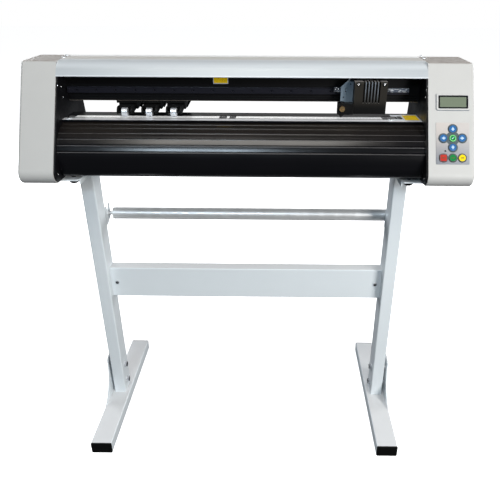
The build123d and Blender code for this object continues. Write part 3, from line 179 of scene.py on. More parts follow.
def facing_up(tree):
    """1 on faces that look up, 0 on upright ones."""
    normal = node(tree, "ShaderNodeTexCoord").outputs["Normal"]
    z = node(tree, "ShaderNodeSeparateXYZ", {"Vector": normal}).outputs["Z"]
    return remap(tree, z, 0.75, 0.98)


def set_bump(tree, shader, height, depth, strength=1.0):
    """Bump whose full height is 'depth' metres."""
    made = node(tree, "ShaderNodeBump", {"Height": height, "Distance": depth, "Strength": strength})
    tree.links.new(made.outputs["Normal"], shader.inputs["Normal"])


def along(tree, vector, direction):
    """Length of a vector along a direction."""
    made = node(tree, "ShaderNodeVectorMath", {0: vector, 1: direction}, operation="DOT_PRODUCT")
    return made.outputs["Value"]


def wire(tree, shader, colour, gloss, height, depth):
    """Link colour and roughness to the shader, and add a bump of a height in metres."""
    tree.links.new(colour, shader.inputs["Base Color"])
    tree.links.new(gloss, shader.inputs["Roughness"])
    set_bump(tree, shader, height, depth)


def shade(colour, amount):
    """A colour made lighter or darker."""
    return tuple(min(1.0, channel * amount) for channel in colour)


def surface(name, colour, roughness, metallic=0.0, grain=900.0, depth=0.04 * MM,
            stretch=(1, 1, 1), mottle=0.06, spread=0.08, dust_and_top_shade=None, **constants):
    """General finish: mottled colour, uneven gloss, fine grain and its own tone on upward faces, which is settled
    grime on black plastic and painted shade on the cap shell.
    """
    made, tree, shader = new_material(name, Metallic=metallic, **constants)
    vector = place(tree, stretch)
    cloud = noise(tree, place(tree), 14.0, 4.0)
    fine = noise(tree, vector, grain, 2.0)
    tone = blend_colour(tree, cloud, shade(colour, 1 - mottle), shade(colour, 1 + mottle))
    tone = blend_colour(tree, remap(tree, fine, 0.62, 0.8), tone, shade(colour, 1 + 3 * mottle))
    # Upward faces take their own tone: on the cap shell it is painted shade with a painted warm reflection, on
    # black plastic it is settled grime.
    if dust_and_top_shade:
        tone = blend_colour(tree, facing_up(tree), tone, dust_and_top_shade)
    gloss = remap(tree, noise(tree, vector, 60.0, 3.0), 0.3, 0.7, roughness - spread, roughness + spread)
    wire(tree, shader, tone, gloss, fine, depth)
    return made


LENGTHWISE = (0.004, 1, 1)      # stretch that draws grain out along the beam

# ---- materials of the record's slots ----

def cap_shell():
    """Light grey moulded shell with a fine spark-eroded texture and a darker, warmer top of painted shade and
    painted warm reflection.
    """
    return surface("cap_shell", (0.475, 0.475, 0.465), 0.46, grain=2600, depth=0.03 * MM, mottle=0.02,
                   dust_and_top_shade=(0.35, 0.315, 0.29))


def stand_paint():
    """Pale blue-grey powder coat with a little orange peel."""
    return surface("stand_paint", (0.70, 0.75, 0.78), 0.36, grain=420, depth=0.05 * MM, mottle=0.025,
                   dust_and_top_shade=(0.62, 0.63, 0.64))


def bright_aluminium():
    """Satin anodised aluminium, drawn lengthwise."""
    return surface("bright_aluminium", (0.72, 0.76, 0.80), 0.34, 0.45, grain=2400, depth=0.01 * MM,
                   stretch=LENGTHWISE, mottle=0.03)


def top_cover_metal():
    """Top cover: satin aluminium, with a painted reflection as a near-white strip behind the groove, and painted
    shade as a greyer, browner flat top and a darker band on the brow.
    """
    made, tree, shader = new_material("top_cover_metal", Metallic=0.20)
    y = position(tree)["Y"]
    streak = noise(tree, place(tree, LENGTHWISE), 2400, 3.0)
    cloud = noise(tree, place(tree), 9.0, 3.0)
    tone = blend_colour(tree, streak, (0.62, 0.66, 0.70), (0.69, 0.73, 0.76))
    tone = blend_colour(tree, calc(tree, "MULTIPLY", cloud, 0.12), tone, (0.56, 0.58, 0.60))
    # Painted shade: the flat top behind the brow takes a greyer, browner tone.
    flat = calc(tree, "MULTIPLY", facing_up(tree), remap(tree, y, -20 * MM, 4 * MM))
    tone = blend_colour(tree, flat, tone, (0.56, 0.54, 0.51))
    # Painted reflection: a near-white strip behind the groove.
    strip = remap(tree, y, 35.5 * MM, 36.5 * MM)
    tone = blend_colour(tree, strip, tone, (0.90, 0.90, 0.90))
    # Painted shade: a darker band down the front of the brow.
    below_top = calc(tree, "SUBTRACT", COVER_TOP, position(tree)["Z"])
    brow = calc(tree, "MULTIPLY", remap(tree, below_top, 6 * MM, 15 * MM),
                remap(tree, below_top, 25.5 * MM, 24 * MM))
    tone = blend_colour(tree, calc(tree, "MULTIPLY", brow, 0.55), tone, (0.24, 0.27, 0.29))
    wire(tree, shader, tone, remap(tree, streak, 0.2, 0.8, 0.36, 0.48), streak, 0.006 * MM)
    return made


def black_anodised():
    """Black anodised extrusion with faint lengthwise die lines."""
    return surface("black_anodised", (0.0030, 0.0030, 0.0038), 0.34, grain=2200, depth=0.003 * MM,
                   stretch=LENGTHWISE, mottle=0.12, spread=0.05, Specular_IOR_Level=0.25)


def front_cover_black():
    """Fluted cover: satin black, with painted highlights on the crests between the flutes and a patchy painted
    warm reflection high on its shoulder.
    """
    made, tree, shader = new_material("front_cover_black", Specular_IOR_Level=0.45)
    axes = position(tree)
    rise = calc(tree, "SUBTRACT", axes["Z"], COVER_ARC_Z)
    ahead = calc(tree, "SUBTRACT", axes["Y"], COVER_ARC_Y)
    angle = calc(tree, "ARCTAN2", rise, ahead)
    step = calc(tree, "DIVIDE", calc(tree, "SUBTRACT", angle, FIRST_CREST), CREST_STEP)
    away = calc(tree, "PINGPONG", step, 0.5)
    ends = calc(tree, "MULTIPLY", remap(tree, step, -0.3, -0.2), remap(tree, step, 5.3, 5.2))
    # Mask of the crest lines, which get a painted highlight and a small bump.
    crest = calc(tree, "MULTIPLY", remap(tree, away, 0.075, 0.035), ends)
    streak = noise(tree, place(tree, LENGTHWISE), 2200, 3.0)
    cloud = noise(tree, place(tree), 7.0, 4.0)
    tone = blend_colour(tree, streak, (0.0016, 0.0016, 0.0024), (0.0030, 0.0030, 0.0040))
    # Patchy warm tone on the upper shoulder: a painted reflection of warm light from overhead.
    painted_light_patch = remap(tree, cloud, 0.3, 0.6, 0.35, 0.9)
    shoulder = calc(tree, "MULTIPLY", remap(tree, axes["Z"], 0.735, 0.768), painted_light_patch)
    tone = blend_colour(tree, shoulder, tone, (0.016, 0.013, 0.011))
    tone = blend_colour(tree, crest, tone, (0.085, 0.082, 0.084))
    uneven = remap(tree, cloud, 0.3, 0.7, 0.0, 0.05)
    gloss = calc(tree, "ADD", uneven, remap(tree, streak, 0.2, 0.8, 0.16, 0.20))
    wire(tree, shader, tone, gloss, crest, 0.12 * MM)
    return made


def beam_black():
    """Beam: satin black with its lower front edge rubbed bright."""
    made, tree, shader = new_material("beam_black", Specular_IOR_Level=0.2)
    z = position(tree)["Z"]
    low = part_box("beam")[0].z
    streak = noise(tree, place(tree, LENGTHWISE), 1800, 3.0)
    tone = blend_colour(tree, streak, (0.0018, 0.0018, 0.0022), (0.0034, 0.0034, 0.0040))
    rubbed = remap(tree, streak, 0.3, 0.6, 0.4, 1.0)
    worn = calc(tree, "MULTIPLY", remap(tree, z, low + 1.4 * MM, low + 0.6 * MM), rubbed)
    tone = blend_colour(tree, worn, tone, (0.30, 0.27, 0.24))
    wire(tree, shader, tone, remap(tree, streak, 0.2, 0.8, 0.36, 0.46), streak, 0.005 * MM)
    return made


def platen_metal():
    """Platen: black bed with a bare, brushed front edge."""
    made, tree, shader = new_material("platen_metal", Specular_IOR_Level=0.02)
    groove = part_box("platen")[0].y + 17 * MM
    y = position(tree)["Y"]
    streak = noise(tree, place(tree, LENGTHWISE), 2600, 4.0)
    cloud = noise(tree, place(tree, (1, 4, 1)), 16.0, 3.0)
    bare = calc(tree, "MULTIPLY", remap(tree, y, groove + 0.4 * MM, groove), facing_up(tree))
    black = blend_colour(tree, streak, (0.002, 0.002, 0.003), (0.005, 0.005, 0.006))
    metal = blend_colour(tree, cloud, (0.58, 0.59, 0.62), (0.92, 0.92, 0.95))
    tone = blend_colour(tree, bare, black, metal)
    tree.links.new(remap(tree, bare, 0, 1, 0.0, 0.35), shader.inputs["Metallic"])
    wire(tree, shader, tone, remap(tree, streak, 0.2, 0.8, 0.26, 0.40), streak, 0.006 * MM)
    return made


def rail_steel():
    """Guide rail: blued steel, its right end bare metal, crinkled, with bright patches of painted reflection."""
    made, tree, shader = new_material("rail_steel")
    low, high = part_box("guide_rail")
    axes = position(tree)
    streak = noise(tree, place(tree, LENGTHWISE), 1800, 3.0)
    crinkle = noise(tree, place(tree, (1, 1, 2)), 210, 5.0, 0.7)
    upper = remap(tree, axes["Z"], low.z + 4.6 * MM, low.z + 5.6 * MM)
    bare = calc(tree, "MULTIPLY", remap(tree, axes["X"], high.x - 45 * MM, high.x - 38 * MM), upper)
    blued = blend_colour(tree, streak, (0.007, 0.007, 0.012), (0.014, 0.014, 0.022))
    # Painted reflection: near-white patches on the right end stand for the white cap and surroundings mirrored in
    # the rail.
    bright = blend_colour(tree, remap(tree, crinkle, 0.48, 0.66), (0.09, 0.11, 0.15), (0.90, 0.94, 0.98))
    tone = blend_colour(tree, bare, blued, bright)
    tree.links.new(remap(tree, bare, 0, 1, 0.30, 0.55), shader.inputs["Metallic"])
    gloss = remap(tree, streak, 0.2, 0.8, 0.28, 0.40)
    wire(tree, shader, tone, gloss, calc(tree, "MULTIPLY", crinkle, bare), 0.5 * MM)
    return made


def black_steel():
    """Side plates and pan: thin satin black paint."""
    return surface("black_steel", (0.0030, 0.0030, 0.0040), 0.40, grain=700, depth=0.02 * MM, mottle=0.15,
                   Specular_IOR_Level=0.25)


def black_plastic():
    """Moulded black plastic with a leathery grain, greyer where dust lies."""
    return surface("black_plastic", (0.004, 0.004, 0.004), 0.42, grain=1500, depth=0.04 * MM, mottle=0.15,
                   dust_and_top_shade=(0.012, 0.012, 0.012), Specular_IOR_Level=0.14)


def carriage_plastic():
    """Carriage cover: black plastic, a little lighter higher up, its ribs given a painted bluish sheen and its
    upward faces a painted lit tone.
    """
    made, tree, shader = new_material("carriage_plastic", Specular_IOR_Level=0.15)
    axes = position(tree)
    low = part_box("carriage_cover")[0]
    fine = noise(tree, place(tree), 1500, 2.0)
    cloud = noise(tree, place(tree), 60, 3.0)
    tone = blend_colour(tree, remap(tree, axes["Z"], low.z + 10 * MM, low.z + 30 * MM), (0.003, 0.003, 0.003),
                        (0.019, 0.017, 0.014))
    # The ribs, higher up, get a painted bluish sheen.
    steps = calc(tree, "DIVIDE", calc(tree, "SUBTRACT", axes["X"], low.x + FIRST_RIB), RIB_PITCH)
    on_rib = remap(tree, calc(tree, "PINGPONG", steps, 0.5), 0.17, 0.10)
    inside = calc(tree, "MULTIPLY", remap(tree, steps, -2.7, -2.6), remap(tree, steps, 2.7, 2.6))
    height = calc(tree, "MULTIPLY", remap(tree, axes["Z"], low.z + 19 * MM, low.z + 50 * MM),
                  remap(tree, cloud, 0.3, 0.6, 0.6, 1.0))
    rib = calc(tree, "MULTIPLY", calc(tree, "MULTIPLY", on_rib, inside), height)
    tone = blend_colour(tree, rib, tone, (0.13, 0.15, 0.18))
    # Painted light: upward faces take a lighter tone where the top cover's lip keeps real light off them.
    painted_light_patch = calc(tree, "MULTIPLY", facing_up(tree), remap(tree, fine, 0.3, 0.6, 0.6, 1.0))
    tone = blend_colour(tree, painted_light_patch, tone, (0.34, 0.32, 0.31))
    wire(tree, shader, tone, remap(tree, fine, 0.3, 0.7, 0.34, 0.46), fine, 0.04 * MM)
    return made


def bare_steel():
    """Bright turned or drawn steel."""
    return surface("bare_steel", (0.66, 0.66, 0.67), 0.28, 0.9, grain=2600, depth=0.008 * MM,
                   stretch=LENGTHWISE, mottle=0.05)


def roller_steel():
    """Media roller: pale anodised tube, softly brushed round."""
    return surface("roller_steel", (0.86, 0.855, 0.85), 0.40, 0.62, grain=1500, depth=0.01 * MM,
                   stretch=(1, 0.1, 0.1), mottle=0.03)


def bolt_steel():
    """Zinc-plated fasteners."""
    return surface("bolt_steel", (0.74, 0.74, 0.76), 0.24, 1.0, grain=1200, depth=0.01 * MM, mottle=0.08)


def wheel_metal():
    """Pinch wheels: polished steel with turned rings round the axle."""
    made, tree, shader = new_material("wheel_metal", Metallic=0.6)
    rings = noise(tree, place(tree, (1, 0.02, 0.02)), 2400, 3.0)
    cloud = noise(tree, place(tree), 160, 3.0)
    tone = blend_colour(tree, rings, (0.55, 0.58, 0.63), (0.92, 0.94, 0.97))
    tone = blend_colour(tree, remap(tree, cloud, 0.55, 0.75, 0.0, 0.4), tone, (0.30, 0.32, 0.36))
    wire(tree, shader, tone, remap(tree, rings, 0.2, 0.8, 0.16, 0.32), rings, 0.02 * MM)
    return made


def blue_steel():
    """Carriage plate: blue-grey paint, painted shade in black behind the carriage cover, and the clamp pieces at
    its left end bare.
    """
    made, tree, shader = new_material("blue_steel")
    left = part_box("carriage_plate")[0].x
    cover_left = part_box("carriage_cover")[0].x
    x = position(tree)["X"]
    fine = noise(tree, place(tree), 900, 3.0)
    cloud = noise(tree, place(tree), 45, 4.0)
    paint = blend_colour(tree, cloud, (0.17, 0.23, 0.285), (0.23, 0.29, 0.35))
    # Painted shade: the plate is black from the carriage cover's left edge on, in the gap behind the cover.
    covered_shade = remap(tree, x, cover_left + 0.5 * MM, cover_left + 2 * MM)
    paint = blend_colour(tree, covered_shade, paint, (0.004, 0.004, 0.005))
    bare = remap(tree, x, left + 13 * MM, left + 12.5 * MM)
    metal = blend_colour(tree, remap(tree, cloud, 0.4, 0.6), (0.10, 0.11, 0.13), (0.62, 0.65, 0.70))
    tone = blend_colour(tree, bare, paint, metal)
    tree.links.new(remap(tree, bare, 0, 1, 0.35, 0.9), shader.inputs["Metallic"])
    wire(tree, shader, tone, remap(tree, fine, 0.2, 0.8, 0.34, 0.46), fine, 0.03 * MM)
    return made


def motor_steel():
    """Laminated motor bodies: fine stacked lines."""
    return surface("motor_steel", (0.05, 0.05, 0.055), 0.38, 0.5, grain=1800, depth=0.05 * MM,
                   stretch=(1, 0.05, 0.05), mottle=0.2)


def brass():
    """Brass thumb screw, tarnished in the knurl."""
    return surface("brass", (0.60, 0.40, 0.19), 0.28, 0.85, grain=1800, depth=0.02 * MM, mottle=0.25)


def white_plastic():
    """Nylon gear."""
    return surface("white_plastic", (0.82, 0.81, 0.77), 0.40, grain=1200, depth=0.02 * MM, mottle=0.03)


def white_strip():
    """Cutting strip with fine knife marks across it."""
    made, tree, shader = new_material("white_strip", Specular_IOR_Level=0.6)
    marks = noise(tree, place(tree, (1, 0.1, 1)), 900, 3.0)
    cuts = remap(tree, marks, 0.62, 0.74, 0.0, 0.5)
    tone = blend_colour(tree, cuts, (0.97, 0.97, 0.97), (0.66, 0.66, 0.68))
    wire(tree, shader, tone, remap(tree, marks, 0.3, 0.7, 0.20, 0.30), marks, 0.03 * MM)
    return made


def belt_rubber():
    """Toothed belt: ribs every two millimetres along it."""
    made, tree, shader = new_material("belt_rubber")
    wave = node(tree, "ShaderNodeTexWave", {"Vector": place(tree), "Scale": 80.0}, bands_direction="X")
    fine = noise(tree, place(tree), 1500, 2.0)
    tone = blend_colour(tree, fine, (0.008, 0.008, 0.009), (0.024, 0.024, 0.026))
    wire(tree, shader, tone, remap(tree, fine, 0.2, 0.8, 0.55, 0.75), wave.outputs["Fac"], 0.3 * MM)
    return made


def circuit_board():
    """Green board with dull copper tracks."""
    made, tree, shader = new_material("circuit_board")
    tracks = node(tree, "ShaderNodeTexVoronoi", {"Vector": place(tree), "Scale": 260.0}, distance="MANHATTAN")
    mask = remap(tree, tracks.outputs["Distance"], 0.55, 0.62)
    tone = blend_colour(tree, mask, (0.012, 0.10, 0.035), (0.05, 0.24, 0.08))
    wire(tree, shader, tone, remap(tree, mask, 0, 1, 0.28, 0.36), mask, 0.04 * MM)
    return made


def near(tree, points, radius, soft=0.25 * MM):
    """1 within a radius of any of the points."""
    coords = node(tree, "ShaderNodeTexCoord").outputs["Object"]
    result = None
    for point in points:
        away = node(tree, "ShaderNodeVectorMath", {0: coords, 1: point}, operation="DISTANCE")
        mask = remap(tree, away.outputs["Value"], radius + soft, radius)
        result = mask if result is None else calc(tree, "MAXIMUM", result, mask)
    return result


def keypad_film():
    """Keypad film: a silver gradient with a dark cross printed round the arrow keys."""
    made, tree, shader = new_material("keypad_film", Metallic=0.25)
    low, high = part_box("keypad_panel")
    axes = position(tree)
    fade = remap(tree, axes["Z"], low.z, high.z)
    across = remap(tree, axes["X"], low.x, high.x)
    streak = noise(tree, place(tree, (0.05, 1, 1)), 3000, 2.0)
    tone = blend_colour(tree, fade, (0.20, 0.215, 0.245), (0.54, 0.50, 0.475))
    tone = blend_colour(tree, calc(tree, "MULTIPLY", across, 0.20), tone, (0.50, 0.51, 0.53))
    tone = blend_colour(tree, remap(tree, streak, 0.45, 0.7, 0.0, 0.12), tone, (0.66, 0.66, 0.68))
    arrows = [key_place(kx, ky, 0.0) for kx, ky in ARROW_PLACES]
    hub = near(tree, [key_place(0, 0, 0.0)], CROSS_HUB_R)
    dark = calc(tree, "MAXIMUM", near(tree, arrows, CROSS_ARM_R), hub)
    tone = blend_colour(tree, dark, tone, (0.075, 0.105, 0.115))
    lower = [on_face(x, ROW_UP, 0) for x in (-KEY_PITCH, 0, KEY_PITCH)]
    tone = blend_colour(tree, near(tree, lower, ROW_SHADOW_R), tone, (0.05, 0.06, 0.05))
    wire(tree, shader, tone, remap(tree, streak, 0.2, 0.8, 0.30, 0.42), streak, 0.006 * MM)
    return made


def cap_with_surround():
    """The right cap's shell, the side walls round its raised display surround given a bluish grey of painted
    shade.
    """
    made = cap_shell()
    made.name = "cap_with_surround"
    tree = made.node_tree
    shader = tree.nodes["Principled BSDF"]
    coords = node(tree, "ShaderNodeTexCoord").outputs
    middle = on_face(centre("display").x - PANEL_MID.x, DISPLAY_UP, 0)
    offset = node(tree, "ShaderNodeVectorMath", {0: coords["Object"], 1: middle}, operation="SUBTRACT")
    # Painted shade: faces turned away from the keypad face, round the display surround, take a darker bluish grey.
    walls = remap(tree, along(tree, coords["Normal"], FACE_OUT), 0.97, 0.88)
    mask = walls
    for direction, reach in ((RIGHT, 36 * MM), (FACE_UP, 20 * MM)):
        away = calc(tree, "ABSOLUTE", along(tree, offset.outputs[0], direction))
        mask = calc(tree, "MULTIPLY", mask, remap(tree, away, reach + 0.5 * MM, reach))
    shell = shader.inputs["Base Color"].links[0].from_socket
    tree.links.new(blend_colour(tree, mask, shell, (0.19, 0.22, 0.27)), shader.inputs["Base Color"])
    return made


def display_glass():
    """Black window frame of the display."""
    return surface("display_glass", (0.012, 0.013, 0.015), 0.16, grain=300, depth=0.004 * MM, mottle=0.1,
                   spread=0.03)


def key_colour(name, colour):
    """Glossy, clear-coated key cap."""
    return surface(name, colour, 0.22, grain=700, depth=0.01 * MM, mottle=0.08, spread=0.05,
                   Coat_Weight=0.6, Coat_Roughness=0.08)


ARROW_PLACES = {(0, 1): "arrow_up", (-1, 0): "arrow_left", (1, 0): "arrow_right", (0, -1): "arrow_down"}


def key_place(step_x, step_up, out):
    """Middle of a key of the arrow cross, so many pitches from its centre key."""
    return on_face(step_x * KEY_PITCH, PAD_UP + step_up * KEY_PITCH, out)


SLOT_MATERIALS = {
    "stand_paint": stand_paint(),
    "cap_shell": cap_shell(),
    "bright_aluminium": bright_aluminium(),
    "black_anodised": black_anodised(),
    "black_steel": black_steel(),
    "black_plastic": black_plastic(),
    "rail_steel": rail_steel(),
    "bare_steel": bare_steel(),
    "bolt_steel": bolt_steel(),
    "wheel_metal": wheel_metal(),
    "blue_steel": blue_steel(),
    "motor_steel": motor_steel(),
    "brass": brass(),
    "white_plastic": white_plastic(),
    "white_strip": white_strip(),
    "belt_rubber": belt_rubber(),
    "circuit_board": circuit_board(),
    "keypad_film": keypad_film(),
    "display_glass": display_glass(),
    "blue_key": key_colour("blue_key", (0.028, 0.13, 0.34)),
    "green_key": key_colour("green_key", (0.008, 0.20, 0.045)),
    "red_key": key_colour("red_key", (0.44, 0.028, 0.016)),
    "yellow_key": key_colour("yellow_key", (0.80, 0.60, 0.01)),
}
NODE_MATERIALS = {
    "top_cover": top_cover_metal(),
    "front_cover": front_cover_black(),
    "beam": beam_black(),
    "platen": platen_metal(),
    "media_roller": roller_steel(),
    "carriage_cover": carriage_plastic(),
    "end_cap_right": cap_with_surround(),
}


def dress_cad_nodes():
    """Give every CAD node its material."""
    for name, obj in nodes.items():
        obj.data.materials.clear()
        obj.data.materials.append(NODE_MATERIALS.get(name, SLOT_MATERIALS[slot_of[name]]))


dress_cad_nodes()


# ---- mesh building blocks ----

def add_piece(name, mesh, matrix, finish, body, bevel=0.0):
    """Turn a mesh into a piece of the object that rides on a CAD body."""
    obj = bpy.data.objects.new(name, mesh)
    bpy.context.scene.collection.objects.link(obj)
    obj.matrix_world = matrix
    mesh.materials.append(finish)
    if bevel:
        edge = obj.modifiers.new("edge", "BEVEL")
        edge.width = bevel
        edge.segments = 2
        edge.limit_method = "ANGLE"
    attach(obj, body)


def mesh_of(name, build):
    """Mesh made by a bmesh function."""
    work = bmesh.new()
    build(work)
    bmesh.ops.recalc_face_normals(work, faces=work.faces)
    mesh = bpy.data.meshes.new(name)
    work.to_mesh(mesh)
    work.free()
    return mesh


def slab(name, outline, thickness):
    """Flat plate: an outline in local X and Y, from local Z 0 up to its thickness."""
    def build(work):
        base = [work.verts.new((x, y, 0)) for x, y in outline]
        face = work.faces.new(base)
        grown = bmesh.ops.extrude_face_region(work, geom=[face])
        moved = [v for v in grown["geom"] if isinstance(v, bmesh.types.BMVert)]
        bmesh.ops.translate(work, verts=moved, vec=(0, 0, thickness))
    return mesh_of(name, build)


def frame_slab(name, outer, inner, thickness):
    """Flat frame between two outlines with the same number of points."""
    def build(work):
        rings = []
        for outline, z in ((outer, 0), (outer, thickness), (inner, thickness), (inner, 0)):
            rings.append([work.verts.new((x, y, z)) for x, y in outline])
        count = len(outer)
        for ring, following in zip(rings, rings[1:] + rings[:1]):
            for i in range(count):
                j = (i + 1) % count
                work.faces.new((ring[i], ring[j], following[j], following[i]))
    return mesh_of(name, build)


def disc(radius, steps=32):
    """Outline of a circle."""
    angles = [2 * math.pi * i / steps for i in range(steps)]
    return [(radius * math.cos(angle), radius * math.sin(angle)) for angle in angles]


def lathe(name, profile, segments=24):
    """Turned solid: a profile of (radius, height) points spun about local Z."""
    def build(work):
        rings = []
        for radius, height in profile:
            if radius == 0:
                rings.append([work.verts.new((0, 0, height))] * segments)
                continue
            rings.append([work.verts.new((x, y, height)) for x, y in disc(radius, segments)])
        for ring, following in zip(rings, rings[1:]):
            for i in range(segments):
                j = (i + 1) % segments
                corners = []
                for vertex in (ring[i], ring[j], following[j], following[i]):
                    if vertex not in corners:
                        corners.append(vertex)
                if len(corners) > 2:
                    work.faces.new(corners)
    mesh = mesh_of(name, build)
    for polygon in mesh.polygons:
        polygon.use_smooth = True
    return mesh


def rounded(width, height, radius, steps=5):
    """Outline of a rectangle with rounded corners, about its middle."""
    points = []
    for corner_x, corner_y, start in ((1, 1, 0), (-1, 1, 90), (-1, -1, 180), (1, -1, 270)):
        for step in range(steps + 1):
            angle = math.radians(start + 90 * step / steps)
            x = corner_x * (width / 2 - radius) + radius * math.cos(angle)
            y = corner_y * (height / 2 - radius) + radius * math.sin(angle)
            points.append((x, y))
    return points


def turned(outline, angle):
    """Outline turned about its origin, in degrees."""
    c, s = math.cos(math.radians(angle)), math.sin(math.radians(angle))
    return [(x * c - y * s, x * s + y * c) for x, y in outline]


# ---- screws and small metalwork ----

def add_screw(name, point, out, radius, body="root", slot="bolt_steel"):
    """Small domed screw with a hexagonal recess, its head standing on a surface."""
    height = radius * 0.55
    profile = (
        (radius, 0),
        (radius, height * 0.35),
        (radius * 0.82, height * 0.8),
        (radius * 0.52, height),
        (radius * 0.46, height * 0.35),
        (0, height * 0.3),
    )
    where = seat(point, out, RIGHT if abs(out.z) > 0.9 else UP)
    add_piece(name, lathe(name, profile, 18), where, SLOT_MATERIALS[slot], body)


def puck(name, radius, thickness):
    """Thin round disc standing on local Z 0."""
    return lathe(name, ((radius, 0), (radius, thickness), (0, thickness)))


def add_machine_screws():
    """Screws of the side plates, and of the joints between the end caps and the top cover."""
    left_plate = ((-0.0564, 0.8415), (-0.0401, 0.8357), (-0.0386, 0.8157), (-0.1300, 0.6830))
    right_plate = ((-0.0640, 0.8450), (-0.0600, 0.8377), (-0.0600, 0.8233), (-0.1300, 0.6800))
    seams = ((-0.3778, 0.0125), (-0.3822, 0.0433), (0.3627, 0.0267), (0.3637, 0.0575))
    plate_head, seam_head = 1.9 * MM, 3.8 * MM
    for number, (y, z) in enumerate(left_plate, start=1):
        add_screw(f"plate_screw_left_{number}", Vector((PLATE_LEFT, y, z)), RIGHT, plate_head)
    for number, (y, z) in enumerate(right_plate, start=1):
        add_screw(f"plate_screw_right_{number}", Vector((PLATE_RIGHT, y, z)), -RIGHT, plate_head)
    for number, (x, y) in enumerate(seams, start=1):
        point = Vector((x, y, COVER_TOP))
        add_screw(f"seam_screw_{number}", point, UP, seam_head, "root", "bright_aluminium")


def add_carriage_details():
    """Screws, washers, holes and a bright clip on the carriage."""
    low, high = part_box("carriage_cover")
    black = SLOT_MATERIALS["black_plastic"]
    washer_t = 0.3 * MM
    for number, x in enumerate((low.x + 7.4 * MM, high.x - 6.4 * MM), start=1):
        point = Vector((x, low.y, high.z - 4.6 * MM))
        washer = puck(f"carriage_washer_{number}", 3.9 * MM, washer_t)
        add_piece(f"carriage_washer_{number}", washer, seat(point, FRONT), black, "carriage")
        add_screw(f"carriage_screw_{number}", point + FRONT * washer_t, FRONT, 2.2 * MM, "carriage")
    face_y = high.y                                 # the plate's front face, which the cover stands on
    for number, (left_of, below) in enumerate(((14.7, 21.9), (5.4, 8.0)), start=1):
        where = seat(Vector((low.x - left_of * MM, face_y, high.z - below * MM)), FRONT)
        hole = puck(f"plate_hole_{number}", 1.4 * MM, 0.12 * MM)
        add_piece(f"plate_hole_{number}", hole, where, black, "carriage")
    clip = slab("plate_clip", turned(rounded(1.3 * MM, 9.0 * MM, 0.5 * MM), -32), 0.8 * MM)
    add_piece("plate_clip", clip, seat(Vector((low.x - 9.4 * MM, face_y + 1.0 * MM, high.z)), FRONT),
              SLOT_MATERIALS["bright_aluminium"], "carriage")
    plate_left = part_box("carriage_plate")[0].x
    for number, x in enumerate((plate_left + 2.5 * MM, plate_left + 8.5 * MM), start=1):
        add_screw(f"clamp_screw_{number}", Vector((x, -0.0239, 0.8325)), FRONT, 1.7 * MM, "carriage")


# ---- labels and trim ----

def label_finish():
    """Yellow label: printed border and bars of a generic pattern, with no lettering."""
    made, tree, shader = new_material("label_yellow", Roughness=0.5, Specular_IOR_Level=0.05)
    cells = noise(tree, place(tree, (1, 3, 1)), 330.0, 1.0, 0.5)
    bars = remap(tree, cells, 0.56, 0.60, 0.0, 0.75)
    fine = noise(tree, place(tree), 500, 2.0)
    tone = blend_colour(tree, fine, (0.92, 0.62, 0.008), (0.98, 0.70, 0.012))
    tree.links.new(blend_colour(tree, bars, tone, (0.42, 0.19, 0.01)), shader.inputs["Base Color"])
    set_bump(tree, shader, fine, 0.01 * MM)
    return made


def add_labels():
    """Yellow labels with pale borders on the beam and at the platen's right end."""
    yellow = label_finish()
    pale = SLOT_MATERIALS["bright_aluminium"]
    print_t = 0.1 * MM

    border_t = 0.15 * MM
    where = seat(Vector((-0.0553, BEAM_FRONT, 0.8455)), FRONT)
    border = slab("beam_label_border", rounded(31 * MM, 15 * MM, 0.8 * MM), border_t)
    label = slab("beam_label", rounded(28 * MM, 11.8 * MM, 0.6 * MM), print_t)
    add_piece("beam_label_border", border, where, pale, "root")
    add_piece("beam_label", label, where @ Matrix.Translation((0, 0, border_t)), yellow, "root")

    border_t = 0.2 * MM
    width, depth = 33.5 * MM, 56 * MM
    middle = Vector((PLATE_RIGHT - width / 2 - 0.5 * MM, -0.0295, PLATEN_TOP))
    border = slab("platen_label_border", rounded(width, depth, 1 * MM), border_t)
    label = slab("platen_label", rounded(width - 5 * MM, depth - 14 * MM, 0.8 * MM), print_t)
    add_piece("platen_label_border", border, seat(middle, UP, -FRONT), pale, "root")
    add_piece("platen_label", label, seat(middle + UP * border_t, UP, -FRONT), yellow, "root")


def add_platen_trim():
    """Sensor plates and keepers at the two ends of the platen."""
    metal = SLOT_MATERIALS["bright_aluminium"]
    black = SLOT_MATERIALS["black_plastic"]
    sensor_mid = Vector((PLATE_RIGHT - 45.2 * MM, -0.0310, PLATEN_TOP))
    sensor_t = 0.3 * MM
    half_w, half_d = 10.7 * MM, 26.0 * MM
    notch_x, notch_y = -0.3 * MM, 11.2 * MM         # clears the drive drum's slot
    outline = ((half_w, half_d), (-half_w, half_d), (-half_w, notch_y), (notch_x, notch_y),
               (notch_x, -notch_y), (-half_w, -notch_y), (-half_w, -half_d), (half_w, -half_d))
    add_piece("sensor_plate", slab("sensor_plate", outline, sensor_t), seat(sensor_mid, UP, -FRONT), metal,
              "root")
    window = slab("sensor_window", rounded(9.4 * MM, 26.0 * MM, 4.6 * MM), 0.25 * MM)
    window_mid = sensor_mid + RIGHT * 5.0 * MM + UP * sensor_t
    add_piece("sensor_window", window, seat(window_mid, UP, -FRONT), black, "root")
    keeper_t = 1.2 * MM
    for number, (x, y) in enumerate(((-0.3610, -0.0560), (0.2915, -0.0500)), start=1):
        foot = Vector((x, y, PLATEN_TOP))
        keeper = slab(f"strip_keeper_{number}", rounded(8.5 * MM, 12 * MM, 1 * MM), keeper_t)
        add_piece(f"strip_keeper_{number}", keeper, seat(foot, UP, -FRONT), metal, "root",
                  0.2 * MM)
        add_screw(f"keeper_screw_{number}", foot + UP * keeper_t, UP, 2.2 * MM)


# ---- display and keys ----

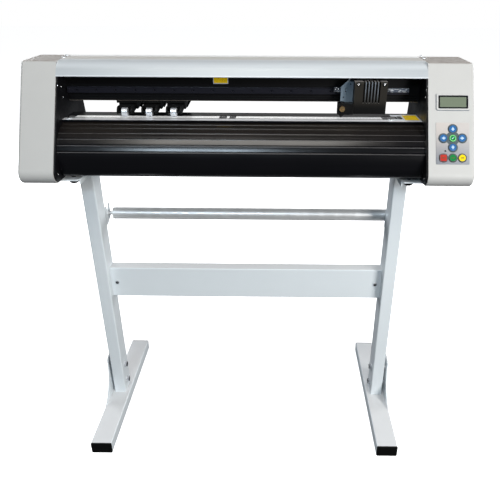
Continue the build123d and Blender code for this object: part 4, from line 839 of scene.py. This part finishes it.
def screen_finish():
    """Grey-green display with a faint grid of blank character cells."""
    made, tree, shader = new_material("screen_finish", Roughness=0.28, Coat_Weight=0.5, Coat_Roughness=0.05)
    vector = place(tree)
    brick = node(tree, "ShaderNodeTexBrick", {
        "Vector": vector,
        "Color1": (0.140, 0.172, 0.118, 1),
        "Color2": (0.136, 0.168, 0.116, 1),
        "Mortar": (0.155, 0.188, 0.132, 1),
        "Scale": 1.0,
        "Mortar Size": 0.25 * MM,
        "Brick Width": 3 * MM,
        "Row Height": 7.5 * MM,
    }, offset=0.0)
    cloud = noise(tree, vector, 60, 2.0)
    veil = calc(tree, "MULTIPLY", cloud, 0.4)
    tone = blend_colour(tree, veil, brick.outputs["Color"], (0.165, 0.198, 0.145))
    tree.links.new(tone, shader.inputs["Base Color"])
    return made


def add_display():
    """Black window frame and the screen inside it."""
    where = seat(on_face(centre("display").x - PANEL_MID.x, DISPLAY_UP, 0.6 * MM), FACE_OUT, FACE_UP)
    outer = rounded(57.8 * MM, 25.8 * MM, 1.4 * MM)
    inner = rounded(51.5 * MM, 20.0 * MM, 0.6 * MM)
    add_piece("display_frame", frame_slab("display_frame", outer, inner, 0.6 * MM), where,
              SLOT_MATERIALS["display_glass"], "root", 0.1 * MM)
    screen = slab("display_screen", rounded(51.3 * MM, 19.8 * MM, 0.5 * MM), 0.15 * MM)
    add_piece("display_screen", screen, where, screen_finish(), "root")


def glyph_finish(name, colour):
    """Printed ink on a key."""
    return surface(name, colour, 0.35, grain=900, depth=0.005 * MM, mottle=0.04)


def add_key_marks():
    """Arrowheads on the blue keys, a tick and bars on the others, and a rim round each."""
    white = glyph_finish("ink_white", (0.42, 0.56, 0.70))
    rim = glyph_finish("ink_rim", (0.055, 0.075, 0.095))
    lime = glyph_finish("ink_lime", (0.20, 0.62, 0.22))
    dark = glyph_finish("ink_dark", (0.10, 0.045, 0.010))
    tip, wing, neck, tail = 3.8 * MM, 3.6 * MM, 1.4 * MM, -3.6 * MM
    arrow = ((0, tip), (-wing, -neck), (-neck, -neck), (-neck, tail), (neck, tail), (neck, -neck),
             (wing, -neck))
    tick = [(x * MM, y * MM)
            for x, y in ((-2.6, 0.2), (-0.8, -2.2), (3.0, 2.0), (2.2, 2.8), (-0.8, -0.4), (-1.8, 0.9))]
    turn = {"arrow_up": 0, "arrow_left": 90, "arrow_right": -90, "arrow_down": 180}

    def mark(key, where, outline, finish):
        add_piece(f"{key}_mark", slab(f"{key}_mark", outline, INK_T), where, finish, f"{key}_button")

    def ring(key, where, outer, inner, finish, slot):
        band = frame_slab(f"{key}_ring", outer, inner, INK_T)
        add_piece(f"{key}_ring", band, where, finish, f"{key}_button")

    for (step_x, step_up), key in ARROW_PLACES.items():
        where = seat(key_place(step_x, step_up, CROWN_OUT), FACE_OUT, FACE_UP)
        mark(key, where, turned(arrow, turn[key]), white)
        ring(key, where, disc(7.9 * MM), disc(6.9 * MM), rim, "blue_key")
    where = seat(key_place(0, 0, CROWN_OUT), FACE_OUT, FACE_UP)
    ring("enter", where, disc(6.2 * MM), disc(4.9 * MM), lime, "green_key")
    mark("enter", where, tick, white)
    square = [rounded(side, side, 2.4 * MM) for side in (14.4 * MM, 12.8 * MM)]
    circle = [disc(7.3 * MM), disc(6.5 * MM)]
    row = (("stop", -KEY_PITCH, 1.8 * MM, square, "red_key"), ("start", 0, 1.5 * MM, circle, "green_key"),
           ("menu", KEY_PITCH, 1.8 * MM, circle, "yellow_key"))
    for key, x, bar, (outer, inner), slot in row:
        where = seat(on_face(x, ROW_UP, CROWN_OUT), FACE_OUT, FACE_UP)
        mark(key, where, rounded(6.4 * MM, bar, 0.5 * MM), dark)
        ring(key, where, outer, inner, rim, slot)


def add_indicator():
    """Small indicator lamp below the arrow cross."""
    where = seat(on_face(-14.4 * MM, -15.1 * MM, PANEL_HALF_T), FACE_OUT, FACE_UP)
    profile = ((1.9 * MM, 0), (1.8 * MM, 0.3 * MM), (1.0 * MM, 0.6 * MM), (0, 0.7 * MM))
    add_piece("indicator", lathe("indicator", profile), where, SLOT_MATERIALS["display_glass"], "root")


add_machine_screws()
add_carriage_details()
add_labels()
add_platen_trim()
add_display()
add_key_marks()
add_indicator()


# ---- stage, camera and lights ----

def make_floor():
    """Plain pale floor that also closes the view behind the machine."""
    def build(work):
        bmesh.ops.create_grid(work, x_segments=1, y_segments=1, size=12.0)
    mesh = mesh_of("floor", build)
    floor = bpy.data.objects.new("floor", mesh)
    bpy.context.scene.collection.objects.link(floor)
    made = new_material("floor_pale", Roughness=0.9, Specular_IOR_Level=0.0, Base_Color=(0.93, 0.93, 0.93, 1),
                        Emission_Color=(1, 1, 1, 1), Emission_Strength=0.93)[0]
    mesh.materials.append(made)
    floor.visible_glossy = False
    floor.visible_diffuse = False


def make_camera():
    """Camera in front of the machine, a little above it and right of its middle."""
    data = bpy.data.cameras.new("camera")
    data.sensor_width = 36.0
    data.lens = 38.83
    data.shift_x = -0.0456
    data.shift_y = 0.0052
    camera = bpy.data.objects.new("camera", data)
    bpy.context.scene.collection.objects.link(camera)
    pitch, yaw, roll = math.radians(90 - 27.21), math.radians(0.58), math.radians(0.23)
    turn = Euler((pitch, 0, yaw)).to_matrix() @ Matrix.Rotation(roll, 3, "Z")
    camera.matrix_world = Matrix.Translation((0.0644, -1.149, 1.0364)) @ turn.to_4x4()
    bpy.context.scene.camera = camera


def add_light(name, place_from, aim, size, power, colour=(1, 1, 1)):
    """Soft rectangular light that points at a target."""
    data = bpy.data.lights.new(name, "AREA")
    data.shape = "RECTANGLE"
    data.size, data.size_y = size
    data.energy = power
    data.color = colour
    light = bpy.data.objects.new(name, data)
    bpy.context.scene.collection.objects.link(light)
    light.matrix_world = seat(Vector(place_from), Vector(place_from) - Vector(aim))
    light.visible_camera = False


def make_world():
    """White surroundings for the eye, dim for the light they give."""
    world = bpy.data.worlds.new("world")
    bpy.context.scene.world = world
    world.use_nodes = True
    tree = world.node_tree
    tree.nodes.clear()
    ambient = node(tree, "ShaderNodeBackground", {"Color": (0.86, 0.93, 1.0, 1), "Strength": 0.07})
    seen = node(tree, "ShaderNodeBackground", {"Color": (1, 1, 1, 1), "Strength": 1.0})
    path = node(tree, "ShaderNodeLightPath").outputs["Is Camera Ray"]
    mix = node(tree, "ShaderNodeMixShader", {0: path, 1: ambient.outputs[0], 2: seen.outputs[0]})
    node(tree, "ShaderNodeOutputWorld", {"Surface": mix.outputs[0]})


make_floor()
make_camera()
make_world()
add_light("key", (1.8, -1.85, 1.30), (0.0, 0.0, 0.6), (1.1, 1.1), 64, (1.0, 0.985, 0.96))
add_light("window", (-0.50, -2.6, 2.15), (-0.1, -0.1, 0.72), (0.9, 0.30), 24, (0.72, 0.87, 1.0))
add_light("ceiling", (-0.15, -1.3, 2.9), (0.0, 0.0, 0.7), (1.4, 1.0), 30, (1.0, 0.96, 0.90))
add_light("backdrop", (0.0, 2.6, 1.40), (0.0, 0.0, 0.78), (3.0, 0.30), 7)
for side, power in ((-1, 42), (1, 34)):
    add_light("back", (2.0 * side, 1.8, 1.35), (0.0, 0.0, 0.6), (1.2, 1.2), power, (0.95, 0.97, 1.0))
bpy.context.scene.view_settings.view_transform = "Standard"
